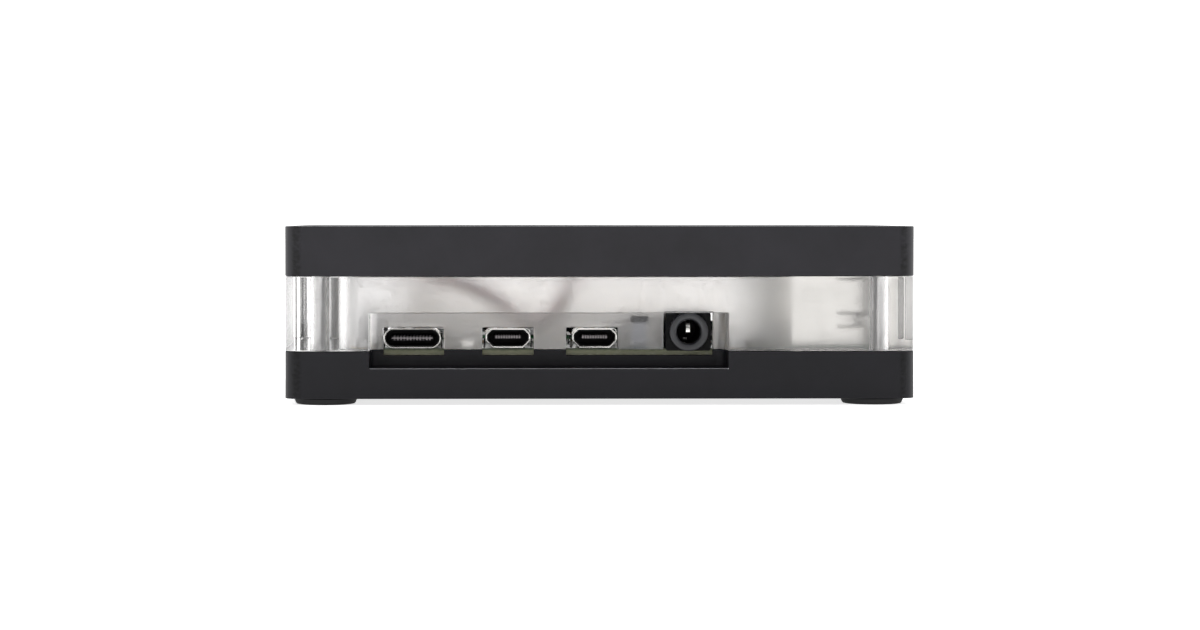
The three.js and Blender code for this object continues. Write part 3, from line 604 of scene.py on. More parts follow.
NICKEL = plated("nickel_plated", (0.8, 0.79, 0.76), 0.17)
CONTACT_GREY = plated("contact_grey", (0.2, 0.185, 0.19), 0.4, grain=0.12, depth=0.006)
NICKEL_DULL = plated("nickel_dull", (0.5, 0.48, 0.44), 0.42, grain=0.12, depth=0.004)
GOLD = plated("gold_plated", (0.83, 0.6, 0.25), 0.22, grain=0.15)
SOLDER = plated("solder", (0.62, 0.62, 0.62), 0.3, grain=0.2, depth=0.01)
OXIDE_STEEL = plated("black_oxide", (0.07, 0.07, 0.075), 0.34, grain=0.15)
ZINC_STEEL = plated("zinc_plated", (0.6, 0.6, 0.6), 0.28, grain=0.2)
BRASS = plated("brass", (0.62, 0.45, 0.17), 0.3, grain=0.2)
CHIP_LID = plated("chip_lid", (0.55, 0.55, 0.56), 0.35, (1, 0.06, 1), 0.15, 0.003)
COPPER_WIRE = plated("enamelled_copper", (0.5, 0.17, 0.06), 0.28, (1, 1, 0.2), 0.1, 0.01)
IRON = plated("lamination_steel", (0.3, 0.3, 0.31), 0.45, (0.05, 0.05, 1), 0.2, 0.02)
MASK = circuit_mask()
FIBREGLASS = board_edge()


# ---------- the case ----------

NOTCH_FLOOR = 5.65 * MM
LIP_HIGHLIGHT_CHAMFER = 0.22 * MM
NEAR = 0.01  # how near a face's centre lies to the case's side to be on it


def bottom_and_top():
    """The two black layers. The front notch's floor has a narrow chamfer along its front edge, coloured light
    grey as a painted highlight.
    """
    bm = cad_copy("bottom_shell")
    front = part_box("bottom_shell")[0].y
    lip = [
        edge for edge in bm.edges
        if all(abs(v.co.y - front) < 1e-5 and abs(v.co.z - NOTCH_FLOOR) < 1e-5 for v in edge.verts)
    ]
    # the chamfer takes the light material: a painted highlight on a black edge
    bmesh.ops.bevel(bm, geom=lip, offset=LIP_HIGHLIGHT_CHAMFER, segments=1, affect="EDGES", profile=0.5, material=1)
    for vert in bm.verts:
        if abs(vert.co.z - NOTCH_FLOOR) < 1e-5 and abs(vert.co.y - front - LIP_HIGHLIGHT_CHAMFER) < 1e-5:
            vert.co.y = front + LIP_HIGHLIGHT_CHAMFER * 0.6
    settle("bottom_shell_milled", bm, [ACETAL_BASE_SHADED, ACETAL_PAINTED_HIGHLIGHT], "black_acetal", ["bottom_shell"],
           bevel=0.1, angle=60)
    from_cad("top_cover", "top_cover_milled", [ACETAL_LID_LIT], "black_acetal", 0.12)


CORNERS = ("front_left", "front_right", "back_left", "back_right")
FACE, MILLED, JOINT, EDGE = range(4)


def clear_frame():
    """The acrylic layer: polished outside, milled inside, and sawn where it meets the black layers."""
    low, high = box_mm("middle_frame")

    def pick(centre, normal):
        on_side = min(high.y - abs(centre.y), high.x - abs(centre.x)) < NEAR
        in_corner = abs(centre.x) > high.x - CORNER_ZONE and abs(centre.y) > high.y - CORNER_ZONE
        faces_out = abs(normal.z) < 0.1 and normal.x * centre.x > 0 and normal.y * centre.y > 0
        if abs(normal.z) > 0.9 and (centre.z < low.z + NEAR or centre.z > high.z - NEAR):
            return JOINT
        return FACE if on_side or (in_corner and faces_out) else MILLED

    materials = [ACRYLIC_FACE, ACRYLIC_MILLED, ACRYLIC_JOINT, ACRYLIC_EDGE]
    piece = from_cad("middle_frame", "middle_frame_clear", materials, "clear_acrylic", 0.12, pick=pick)
    piece.modifiers["edges"].material = EDGE


def feet():
    for corner in CORNERS:
        node = f"rubber_foot_{corner}"
        centre, size = span(node)
        radius, top = size.x / 2, size.z
        profile = [
            (0, 0.22), (2.3, 0.22), (2.6, 0.04), (2.8, 0), (radius - 0.7, 0), (radius - 0.42, 0.06),
            (radius - 0.27, 0.24), (radius - 0.04, top - 0.18), (radius, top - 0.1),
            (radius - 0.03, top - 0.03), (radius - 0.1, top), (0, top),
        ]
        shape = Shape()
        shape.lathe(profile, Matrix.Translation((centre.x, centre.y, 0)), 64)
        shape.piece(f"{node}_moulded", [RUBBER], "black_rubber", [node])


def case_screws():
    """Long cap screws up through the layers: a head with a hexagon socket, and a thread in the insert."""
    for corner in CORNERS:
        node = f"case_screw_{corner}"
        centre, _ = span(node)
        low, high = box_mm(node)
        x, y = centre.x, centre.y
        head_top, shank, plain_end = 3.95, 1.25, 9.0
        place = Matrix.Translation((x, y, low.z))
        head = high.x - x
        shape = Shape()
        socket, rim, socket_depth, head_height = 1.16, 1.4, 1.2, 2.45
        shape.lathe([
            (0, socket_depth), (1.35, socket_depth), (1.35, 0.0), (head - 0.25, 0.0), (head, 0.25),
            (head, 2.2), (head - 0.12, head_height), (0, head_height),
        ], place, 48)
        hexagon = [Vector((math.cos(math.radians(60 * k)), math.sin(math.radians(60 * k)))) for k in range(6)]
        for a, b in zip(hexagon, hexagon[1:] + hexagon[:1]):
            shape.prism([socket * a, rim * a, rim * b, socket * b], 0.02, socket_depth + 0.05, place)
        shape.lathe([(0, head_top), (shank - 0.05, head_top), (shank - 0.05, plain_end), (0, plain_end)],
                    Matrix.Translation((x, y, 0)), 32)
        shape.thread(x, y, plain_end - 0.1, high.z, shank, 0.5, 0.16, 24)
        shape.piece(f"{node}_threaded", [ZINC_STEEL], "bright_screw", [node])


KNURL_INSET = 0.04


def threaded_inserts():
    """Heat-set brass inserts: three knurled bands with grooves between them."""
    teeth = 26
    for corner in CORNERS:
        node = f"threaded_insert_{corner}"
        centre, size = span(node)
        low, high = box_mm(node)
        outer, inner = size.x / 2, 1.5
        levels = [  # (height, inset)
            (0, 0.2), (0.15, 0), (0.3, KNURL_INSET), (0.95, KNURL_INSET), (1.1, 0.3), (1.55, 0.3),
            (1.7, KNURL_INSET), (2.9, KNURL_INSET), (3.05, 0.3), (3.5, 0.3), (3.65, KNURL_INSET),
            (4.7, KNURL_INSET), (4.85, 0.1), (size.z, 0.2),
        ]
        shape = Shape()

        def ring(z, radius, groove=0.0):
            """A ring of new points, every second one set in by the knurl's groove."""
            points = []
            for i in range(2 * teeth):
                angle = math.pi * i / teeth
                r = radius - groove * (i % 2)
                place = (centre.x + r * math.cos(angle), centre.y + r * math.sin(angle), z)
                points.append(shape.bm.verts.new(place))
            return points

        rings = []
        for height, inset in levels:
            groove = 0.12 if inset == KNURL_INSET else 0.0
            rings.append(ring(low.z + height, outer - inset, groove))
        rings += [ring(high.z, inner), ring(low.z, inner)]
        shape.close_ring(rings)
        shape.piece(f"{node}_knurled", [BRASS], "brass", [node])


bottom_and_top()
clear_frame()
feet()
case_screws()
threaded_inserts()


# ---------- ports along the front ----------

def oval(centre, width, height, steps=10):
    """A flat oval round (x, z)."""
    x, z = centre
    return rounded(x - width / 2, x + width / 2, z - height / 2, z + height / 2, height / 2 - 0.01, steps)


def power_port():
    """The power inlet: a rolled oval shell with a rim, and a tongue with contacts on both faces."""
    low, high = box_mm("power_port_shell")
    centre, size = span("power_port_shell")
    wall, lip = 0.17, 0.1

    def mouth(inset):
        return oval((centre.x, centre.z), size.x - 2 * inset, size.z - 2 * inset)

    shell = Shape()
    shell.tube(mouth(lip), mouth(lip + wall), low.y + 0.25, high.y, ALONG_Y)
    shell.tube(mouth(0), mouth(wall), low.y, low.y + 0.45, ALONG_Y)
    shell.prism(mouth(lip), high.y - 0.25, high.y - 0.02, ALONG_Y)
    for side in (-1, 1):
        edge = centre.x + side * (size.x / 2 - 0.05)
        for y in (low.y + 0.75, high.y - 1.6):
            leg_end = (edge + side * 0.22, y + 0.9, centre.z + 0.9)
            shell.box((edge, y, low.z - 0.02), leg_end, 0.05)
        x = centre.x + side * 1.9
        shell.box((x - 0.5, low.y + 1.6, high.z - 0.14), (x + 0.5, low.y + 4.6, high.z - 0.02), 0.04)
    shell.piece("power_port_shell_rolled", [NICKEL], "connector_shell", ["power_port_shell"], bevel=0.07)

    insert = Shape()
    back = high.y - 0.3
    insert.prism(mouth(wall + 0.15), back - 2.0, back, ALONG_Y)
    insert.tube(mouth(wall + 0.12), mouth(wall + 0.25), low.y + 0.12, back - 1.0, ALONG_Y)
    half, tongue = 3.3, 0.33
    front = low.y + 0.75
    depth = back - 1 - front
    insert.block(centre.x, front + depth / 2, 2 * half, depth, centre.z - tongue, centre.z + tongue, 0.1)
    insert.use(1)
    insert.block(centre.x, front + 0.475, 2 * half - 0.2, 1.05, centre.z - 0.1, centre.z + 0.1, 0.03)
    for k, offset in enumerate(spread(12, 0.5)):
        x = centre.x + offset
        reach = 0.3 if k % 3 else 0.22
        insert.box((x - 0.15, front - 0.07, centre.z - reach), (x + 0.13, front + 0.3, centre.z + 0.26), 0.03)
        start = front + (0.05 if k in (0, 3, 8, 11) else 0.3)
        for side in (-1, 1):
            z = centre.z + side * tongue
            insert.box((x - 0.13, start, z), (x + 0.13, back - 1.5, z + side * 0.035))
    insert.piece("power_port_insert_moulded", [BLACK_DEEP, CONTACT_GREY], "black_plastic",
                 ["power_port_insert"])


def video_outline(x, bottom, half, height, inset):
    """The mouth of a small video socket: square shoulders above, sides drawn in below."""
    top = bottom + height
    lower, shoulder = 1.12, 0.78
    side = 0.41 * inset
    right = [
        (half - lower - side, bottom + inset), (half - 0.14 - inset, bottom + 1.08 + side * 0.3),
        (half - inset, bottom + 1.3), (half - inset, bottom + 1.95),
        (half - 0.1 - inset, bottom + 2.2 - side * 0.3),
        (half - shoulder - side, top - 0.12 - inset), (half - shoulder - 0.15 - side, top - inset),
    ]
    return [(x + u, v) for u, v in right] + [(x - u, v) for u, v in reversed(right)]


def video_port(side_name):
    """A small video socket: a folded shell with curled tabs, and a tongue with contacts."""
    node = f"video_port_{side_name}_shell"
    low, high = box_mm(node)
    centre, size = span(node)
    x, half = centre.x, size.x / 2
    wall, lip = 0.18, 0.1

    def mouth(inset):
        return video_outline(x, low.z, half, size.z, inset)

    shell = Shape()
    shell.tube(mouth(lip), mouth(lip + wall), low.y + 0.2, high.y, ALONG_Y)
    shell.tube(mouth(0), mouth(wall), low.y, low.y + 0.4, ALONG_Y)
    shell.prism(mouth(lip), high.y - 0.25, high.y - 0.02, ALONG_Y)
    curl = [(-1.0, 2.98), (-0.55, 3.0), (-0.2, 2.85), (-0.12, 2.55), (-0.3, 2.35)]
    for side in (-1, 1):
        # a tab curled out from each upper side, a leg down into the board, and a spring in the roof
        path = [(x + side * (half + u), low.z + v) for u, v in curl]
        shell.prism(strip(path, 0.16), low.y + 0.15, low.y + 1.5, ALONG_Y)
        edge = x + side * (half + 0.02)
        shell.box((edge, low.y + 0.9, low.z), (edge + side * 0.24, low.y + 1.9, low.z + 1.5), 0.05)
        roof = x + side * 1.2
        shell.box((roof - 0.45, low.y + 1.5, high.z - 0.13), (roof + 0.45, low.y + 4.2, high.z - 0.02), 0.04)
    flange = half - 0.85
    shell.box((x - flange, low.y + 0.05, low.z - 0.03), (x + flange, low.y + 0.5, low.z + 0.14), 0.05)
    shell.piece(f"{node}_folded", [NICKEL], "connector_shell", [node], bevel=0.06)

    insert = Shape()
    back = high.y - 0.3
    insert.prism(mouth(wall + 0.15), back - 2.0, back, ALONG_Y)
    insert.tube(mouth(wall + 0.12), mouth(wall + 0.26), low.y + 0.12, back - 1.0, ALONG_Y)
    middle, front = low.z + 1.72, low.y + 0.8
    tongue_half, tongue = 2.1, 0.26
    insert.box((x - tongue_half, front, middle - tongue), (x + tongue_half, back - 1, middle + tongue), 0.08)
    insert.use(1)
    reach = tongue - 0.03
    for offset in spread(10, 0.4):
        at = x + offset
        insert.box((at - 0.15, front - 0.04, middle - reach), (at + 0.15, front + 0.3, middle + reach), 0.02)
        for side in (-1, 1):
            z = middle + side * tongue
            insert.box((at - 0.11, front + 0.2, z - side * 0.12), (at + 0.11, back - 1.5, z + side * 0.03))
    insert.piece(f"video_port_{side_name}_insert_moulded", [BLACK_DEEP, CONTACT_GREY], "black_plastic",
                 [f"video_port_{side_name}_insert"])


def circle_and_box(centre, radius, half_width, bottom, top, count=64):
    """A circle and the rectangle round it, point for point."""
    x, z = centre
    circle, frame_points = [], []
    for i in range(count):
        angle = 2 * math.pi * (i + 0.5) / count
        u, v = math.cos(angle), math.sin(angle)
        reach = min(half_width / max(abs(u), 1e-6), (top - z if v > 0 else z - bottom) / max(abs(v), 1e-6))
        circle.append((x + radius * u, z + radius * v))
        frame_points.append((x + reach * u, z + reach * v))
    return circle, frame_points


def audio_jack():
    """The audio jack: a black body with a round barrel, and a bent contact in its bore."""
    low, high = box_mm("audio_jack_body")
    centre, size = span("audio_jack_body")
    board_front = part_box("circuit_board")[0].y / MM
    x, half = centre.x, size.x / 2
    z, bore, barrel = 11.05, 1.85, 3.0
    body_front = board_front - 0.6
    body = Shape()
    circle, outline = circle_and_box((x, z), bore, half, low.z, high.z)
    body.tube(outline, circle, body_front, high.y - 3.0, ALONG_Y)
    body.prism(outline, high.y - 3.2, high.y, ALONG_Y)
    to_back = Matrix.Translation((x, 0, z)) @ Matrix.Rotation(math.radians(-90), 4, "X")
    mouth = [
        (bore + 0.02, low.y + 0.4), (bore + 0.06, low.y + 0.2), (bore + 0.16, low.y + 0.08),
        (bore + 0.26, low.y + 0.02), (bore + 0.32, low.y), (barrel - 0.1, low.y),
        (barrel - 0.03, low.y + 0.03), (barrel, low.y + 0.1),
        (barrel, body_front + 0.1), (bore + 0.02, body_front + 0.1),
    ]
    body.use(1)
    body.lathe(mouth, to_back, 64)
    body.piece("audio_jack_body_moulded", [BLACK_DEEP, BLACK_GLOSSY], "black_plastic", ["audio_jack_body"],
               bevel=0.05)

    contact = Shape()
    knuckle = [
        (body_front + 6.5, z + 1.6), (body_front + 2.2, z + 1.56), (body_front + 1.0, z + 1.42),
        (body_front + 0.68, z + 1.0), (body_front + 0.6, z + 0.3), (body_front + 0.66, z - 0.2),
        (body_front + 1.1, z - 0.45), (body_front + 2.0, z - 0.35),
    ]
    along_x = Matrix.Translation((x - 0.3, 0, 0)) @ ALONG_X
    knuckle = [(p.x, p.y) for p in smooth_path([(u, v, 0) for u, v in knuckle], 4)]
    contact.prism(strip(knuckle, 0.14), 0, 0.6, along_x)
    contact.prism(strip([(u, 2 * z - v - 0.1) for u, v in knuckle[:14]], 0.14), -0.5, 0.1, along_x)
    contact.piece("audio_jack_contact_bent", [NICKEL], "contact_metal", ["audio_jack_contact"])


power_port()
video_port("left")
video_port("right")
audio_jack()


# ---------- circuit board and the parts soldered to it ----------

def circuit_board():
    """The bare board, with plated holes and gold pads round them."""
    low, high = box_mm("circuit_board")

    def pick(centre, normal):
        if abs(normal.z) > 0.9:
            return 0
        inside = low.x + 1.5 < centre.x < high.x - 1.5 and low.y + 1.5 < centre.y < high.y - 1.5
        return 2 if inside else 1

    materials = [MASK, FIBREGLASS, GOLD]
    from_cad("circuit_board", "circuit_board_routed", materials, "circuit_board", 0.03, pick=pick)
    pads = Shape()
    for k in range(1, 5):
        centre, _ = span(f"board_screw_{k}")
        for z, turned in ((high.z, 1), (low.z, -1)):
            ring = [(1.42, z), (1.42, z + turned * 0.018), (3.0, z + turned * 0.018), (3.05, z)]
            pads.lathe(ring, Matrix.Translation((centre.x, centre.y, 0)), 40)
    pads.piece("board_hole_pads", [GOLD], "header_pins")


SMALL_PARTS = {  # kind: (how many, length, width, height, terminal length)
    "capacitor": (46, 1.0, 0.5, 0.5, 0.22),
    "resistor": (40, 1.0, 0.5, 0.35, 0.2),
    "big_capacitor": (10, 2.0, 1.25, 1.1, 0.35),
    "inductor": (4, 3.0, 3.0, 1.6, 0.0),
    "crystal": (2, 3.2, 2.5, 0.8, 0.0),
}


def small_parts():
    """Chip parts set out at random on free board, clear of the larger parts."""
    low, high = box_mm("circuit_board")
    taken = []
    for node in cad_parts:
        a, b = box_mm(node)
        on_board = a.z < high.z + 0.5 and b.z > high.z and (b - a).x < 60
        if on_board:
            taken.append((a.x - 0.7, b.x + 0.7, a.y - 0.7, b.y + 0.7))
    shapes = {kind: Shape() for kind in ("terminal", "capacitor", "resistor", "inductor", "crystal")}

    def put(kind, x, y, turned, sizes):
        _, length, width, height, terminal = sizes
        size_x, size_y = (width, length) if turned else (length, width)
        bottom = high.z + 0.03
        body = shapes["capacitor" if kind == "big_capacitor" else kind]
        trim = 2 * terminal - 0.04 if terminal else 0.0
        body_x, body_y = (size_x, size_y - trim) if turned else (size_x - trim, size_y)
        bevel = 0.25 if kind == "inductor" else 0.04
        body.block(x, y, body_x - 0.02, body_y - 0.02, bottom, bottom + height - 0.02, bevel)
        metal = shapes["terminal"]
        if terminal:
            reach = (length - terminal) / 2
            for side in (-1, 1):
                end_x, end_y = (x, y + side * reach) if turned else (x + side * reach, y)
                end_size = (width, terminal) if turned else (terminal, width)
                metal.block(end_x, end_y, *end_size, bottom, bottom + height, 0.04)
        else:
            metal.block(x, y, size_x + 0.2, size_y - 0.8, bottom - 0.02, bottom + 0.08, 0.02)

    for kind, sizes in SMALL_PARTS.items():
        count, length, width = sizes[:3]
        placed = 0
        for _ in range(count * 60):
            if placed == count:
                break
            turned = random.random() < 0.5
            size_x, size_y = (width, length) if turned else (length, width)
            x = round(random.uniform(low.x + 2, high.x - 2) * 2) / 2
            y = round(random.uniform(low.y + 2, high.y - 2) * 2) / 2
            reach_x, reach_y = size_x / 2 + 0.25, size_y / 2 + 0.25
            x0, x1, y0, y1 = x - reach_x, x + reach_x, y - reach_y, y + reach_y
            if any(x0 < b and x1 > a and y0 < d and y1 > c for a, b, c, d in taken):
                continue
            taken.append((x0, x1, y0, y1))
            put(kind, x, y, turned, sizes)
            placed += 1
    shapes["crystal"].block(low.x + 19.75, low.y + 1.1, 2.0, 1.2, high.z + 0.03, high.z + 1.15, 0.15)
    finishes = {
        "terminal": ([SOLDER], "bright_screw"),
        "capacitor": ([CERAMIC], "pale_plastic"),
        "resistor": ([CHIP_BODY], "chip_black"),
        "inductor": ([FERRITE], "chip_black"),
        "crystal": ([NICKEL], "chip_lid"),
    }
    for kind, shape in shapes.items():
        materials, slot = finishes[kind]
        shape.piece(f"board_{kind}s", materials, slot)


def chip(node, legs):
    """An epoxy chip: chamfered body, a round mark at one corner, and pads along its sides."""
    low, high = box_mm(node)
    centre, size = span(node)
    shape = Shape()
    shape.box(low, high, 0.12)
    shape.use(1)
    dot = Matrix.Translation((low.x + 0.9, high.y - 0.9, high.z - 0.005))
    shape.lathe([(0, 0), (0.32, 0), (0.3, 0.012), (0, 0.012)], dot, 24)
    shape.use(2)
    pitch = (size.x - 1.2) / (legs - 1)
    width, length, top = pitch * 0.45, 0.24, low.z + 0.22
    for offset in spread(legs, pitch):
        for side in (-1, 1):
            x, y = centre.x + side * size.x / 2, centre.y + side * size.y / 2
            shape.block(centre.x + offset, y, width, length, low.z, top, 0.02)
            shape.block(x, centre.y + offset * size.y / size.x, length, width, low.z, top, 0.02)
    shape.piece(f"{node}_moulded", [CHIP_BODY, BLACK_GLOSSY, SOLDER], "chip_black", [node])


def processor():
    """The processor: a green carrier with a stamped metal lid on it."""
    low, high = box_mm("processor")
    centre, size = span("processor")
    shape = Shape()
    shape.box(low, (high.x, high.y, low.z + 0.95), 0.06)
    shape.use(1)
    half = size.x / 2 - 0.7
    for inset, z0, z1 in ((0.0, low.z + 0.9, low.z + 1.25), (0.55, low.z + 1.2, high.z)):
        r = half - inset
        shape.prism(rounded(centre.x - r, centre.x + r, centre.y - r, centre.y + r, 0.8), z0, z1)
    shape.piece("processor_lidded", [MASK, CHIP_LID], "chip_lid", ["processor"], bevel=0.12)


def wireless_shield():
    """A drawn metal cover with a raised middle, and along each side a row of dark discs painted on as the
    shade inside holes.
    """
    low, high = box_mm("wireless_shield")
    centre, size = span("wireless_shield")
    shape = Shape()
    shape.prism(rounded(low.x, high.x, low.y, high.y, 0.8, 8), low.z, high.z - 0.12)
    shape.prism(rounded(low.x + 0.5, high.x - 0.5, low.y + 0.5, high.y - 0.5, 1.0, 8), high.z - 0.2, high.z)
    # dark discs painted on the lid as the shade of holes
    shape.use(1)
    for offset in spread(4, 2.6):
        for side in (-1, 1):
            dot = (centre.x + offset, centre.y + side * size.y * 0.36, high.z - 0.006)
            shape.lathe([(0, 0), (0.35, 0), (0.35, 0.01), (0, 0.01)], Matrix.Translation(dot), 20)
    shape.piece("wireless_shield_drawn", [CHIP_LID, CHIP_BODY], "chip_lid", ["wireless_shield"], bevel=0.1)


def pin_header(node, columns, rows=2):
    """A black strip with a waist at each pin, and square gold pins with pointed ends."""
    low, high = box_mm(node)
    centre, _ = span(node)
    pitch, width, nick = 2.54, 0.64, 0.42
    half, depth = pitch / 2 - 0.005, pitch * rows / 2
    waist = [
        (-half, nick - depth), (nick - half, -depth), (half - nick, -depth), (half, nick - depth),
        (half, depth - nick), (half - nick, depth), (nick - half, depth), (-half, depth - nick),
    ]
    shape = Shape()
    places = [centre.x + offset for offset in spread(columns, pitch)]
    for x in places:
        shape.prism([(x + u, centre.y + v) for u, v in waist], low.z, low.z + 2.5)
    shape.use(1)
    square = [(-1, -1), (1, -1), (1, 1), (-1, 1)]
    levels = [(low.z + 1, width / 2), (high.z - 0.5, width / 2), (high.z, 0.45 * width / 2)]
    for x in places:
        for offset in spread(rows, pitch):
            y = centre.y + offset
            shape.loft([[(x + i * r, y + j * r, z) for i, j in square] for z, r in levels])
    shape.piece(f"{node}_pins", [BLACK_NYLON, GOLD], "header_pins", [node], bevel=0.05)


def ribbon_connector(place):
    """A ribbon connector: pale body with contacts in its slot, and a grey latch with a ribbed top."""
    node = f"{place}_connector_body"
    low, high = box_mm(node)
    centre, _ = span(node)
    body = Shape()
    slot = ((centre.x - 0.55, centre.x + 0.55), (centre.y - 9.0, centre.y + 9.0))
    body.box(low, (high.x, high.y, low.z + 1.0), 0.05)
    body.sheet((low.x, high.x), (low.y, high.y), [slot], low.z + 0.9, high.z)
    body.use(1)
    for offset in spread(15, 1.0):
        y = centre.y + offset
        body.box((centre.x + 0.32, y - 0.16, low.z + 1.0), (centre.x + 0.54, y + 0.16, high.z - 0.3), 0.03)
        body.box((high.x - 0.05, y - 0.16, low.z), (high.x + 0.45, y + 0.16, low.z + 0.18), 0.03)
    body.piece(f"{node}_moulded", [PALE_NYLON, GOLD], "pale_plastic", [node], bevel=0.07)

    node = f"{place}_connector_latch"
    low, high = box_mm(node)
    centre, _ = span(node)
    seat = high.z - 1.05
    latch = Shape()
    latch.box((low.x, low.y, seat), high, 0.18)
    latch.box((centre.x - 0.33, low.y + 2.4, low.z + 0.02), (centre.x + 0.33, high.y - 2.4, seat + 0.3), 0.08)
    for offset in spread(9, 1.1):
        y = centre.y + offset
        latch.box((low.x + 0.5, y - 0.18, high.z - 0.1), (high.x - 0.5, y + 0.18, high.z - 0.005), 0.03)
    latch.piece(f"{node}_moulded", [GREY_LATCH], "latch_plastic", [node], body=f"{place}_latch")


def memory_card():
    """The card's folded metal socket under the board, and the card with its contacts."""
    low, high = box_mm("card_socket")
    socket = Shape()
    t = 0.15
    finger_notch = ((low.x - 1, low.x + 1.2), (-3.5, 3.5))
    slit = ((high.x - 4.5, high.x - 3.9), (-4.5, 4.5))
    socket.sheet((low.x, high.x), (low.y, high.y), [finger_notch, slit], low.z, low.z + t)
    window = ((high.x - 4, high.x - 2), (low.z + 0.4, low.z + 0.9))
    for y0, y1 in ((low.y, low.y + t), (high.y - t, high.y)):
        socket.sheet((low.x, high.x), (low.z, high.z), [window], y0, y1, ALONG_Y)
    socket.box((high.x - 0.6, low.y + t, low.z + t), (high.x, high.y - t, high.z), 0.05)
    for x in (low.x + 1.0, high.x - 2.2):
        for y0, y1 in ((low.y - 0.6, low.y + 0.1), (high.y - 0.1, high.y + 0.6)):
            socket.box((x, y0, high.z - 0.15), (x + 1.2, y1, high.z), 0.04)
    socket.piece("card_socket_folded", [NICKEL_DULL], "connector_shell", ["card_socket"], bevel=0.04)

    from_cad("memory_card", "memory_card_body", [CHIP_BODY], "chip_black", 0.08, "memory_card")
    low, high = box_mm("memory_card")
    pads = Shape()
    for offset in spread(8, 1.1):
        y = offset - 0.6
        pads.box((high.x - 3.6, y - 0.38, high.z - 0.01), (high.x - 0.7, y + 0.38, high.z + 0.012), 0.004)
    pads.piece("memory_card_contacts", [GOLD], "header_pins", body="memory_card")


def board_screws():
    for k in range(1, 5):
        from_cad(f"board_screw_{k}", f"board_screw_{k}_pan_head", [ZINC_STEEL], "bright_screw", 0.1)


circuit_board()
small_parts()
chip("memory_chip", 14)
chip("data_hub_chip", 16)
chip("network_chip", 12)
chip("power_chip", 8)
processor()
wireless_shield()
pin_header("pin_header", 20)
pin_header("small_header", 2)
ribbon_connector("camera")
ribbon_connector("display")
memory_card()
board_screws()


# ---------- sockets at the right end ----------

SHEET = 0.3


def socket_shell(node, side_holes, roof_holes, spring_depth=0.7):
    """A folded metal shell open to the right, with spring tongues bent inwards from its windows."""
    low, high = box_mm(node)
    front = high.x - 0.35
    shell = Shape()
    shell.sheet((low.x, front), (low.y, high.y), roof_holes, high.z - SHEET, high.z)
    shell.sheet((low.x, front), (low.y, high.y), [], low.z, low.z + SHEET)
    for y0, y1 in ((low.y, low.y + SHEET), (high.y - SHEET, high.y)):
        shell.sheet((low.x, front), (low.z + SHEET, high.z - SHEET), side_holes, y0, y1, ALONG_Y)
    back_y, back_z = (low.y + SHEET, high.y - SHEET), (low.z + SHEET, high.z - SHEET)
    shell.sheet(back_y, back_z, [], low.x, low.x + SHEET, ALONG_X)

    def lip(across0, across1, level, turned, place):
        flare = [(front - 0.3, 0), (front, 0), (front + 0.2, turned * 0.1), (high.x, turned * 0.22)]
        path = [(u, level + v) for u, v in flare]
        shell.prism(strip(path, SHEET * 0.9), across0 + 0.5, across1 - 0.5, place)

    def spring(u0, u1, across0, across1, level, depth, place):
        path = [(u0 - 0.1, level), (u0 + 0.6, level), ((u0 + u1) / 2, level + depth * 0.5),
                (u1 - 1.0, level + depth), (u1 - 0.3, level + depth * 0.55)]
        shell.prism(strip(path, SHEET * 0.7), across0 + 0.25, across1 - 0.25, place)

    lip(low.y, high.y, high.z - SHEET / 2, 1, ALONG_Y)
    lip(low.y, high.y, low.z + SHEET / 2 + 0.05, -0.2, ALONG_Y)
    lip(low.z, high.z, high.y - SHEET / 2, 1, UPRIGHT)
    lip(low.z, high.z, low.y + SHEET / 2, -1, UPRIGHT)
    for (x0, x1), (z0, z1) in side_holes:
        spring(x0, x1, z0, z1, low.y + SHEET / 2, spring_depth, UPRIGHT)
        spring(x0, x1, z0, z1, high.y - SHEET / 2, -spring_depth, UPRIGHT)
    for (x0, x1), (y0, y1) in roof_holes:
        spring(x0, x1, y0, y1, high.z - SHEET / 2, -spring_depth, ALONG_Y)
    shell.piece(f"{node}_folded", [NICKEL], "connector_shell", [node], bevel=0.05)


def data_socket(place):
    """A two-high data socket: its shell, and an insert with two tongues and their contacts."""
    node = f"data_port_{place}_shell"
    low, high = box_mm(node)
    centre, size = span(node)
    x0, x1 = high.x - 10.5, high.x - 4.0
    lower, upper = low.z + size.z * 0.27, low.z + size.z * 0.74
    side_holes = [((x0, x1), (z - 1.2, z + 1.2)) for z in (lower, upper)]
    roof_holes = [((x0, x1), (centre.y + y - 1.3, centre.y + y + 1.3)) for y in (-3.2, 3.2)]
    socket_shell(node, side_holes, roof_holes)
    insert = Shape()
    low, high = box_mm(f"data_port_{place}_insert")
    middle = (low.z + high.z) / 2
    insert.box(low, (low.x + 4, high.y, high.z), 0.15)
    insert.box((low.x + 1, low.y, middle - 1.2), (high.x, high.y, middle + 1.2), 0.15)
    for bottom in (low.z + 3.0, middle + 4.2):
        insert.use(0)
        insert.box((low.x + 1, centre.y - 5.4, bottom), (high.x - 0.8, centre.y + 5.4, bottom + 1.9), 0.2)
        insert.use(1)
        for offset in spread(4, 2.4):
            y = centre.y + offset
            insert.box((high.x - 8.0, y - 0.5, bottom - 0.05), (high.x - 1.6, y + 0.5, bottom + 0.05), 0.03)
        for offset in spread(5, 2.0):
            y = centre.y + offset
            insert.box((high.x - 12.0, y - 0.3, bottom - 0.22), (high.x - 9.0, y + 0.3, bottom + 0.05), 0.08)
    insert.use(2)
    plate_end = (high.x + 0.06, high.y - 0.3, middle + 1.15)
    insert.box((high.x - 0.35, low.y + 0.3, middle - 1.15), plate_end, 0.05)
    insert.piece(f"data_port_{place}_insert_moulded", [BLACK_NYLON, GOLD, NICKEL_DULL], "black_plastic",
                 [f"data_port_{place}_insert"])


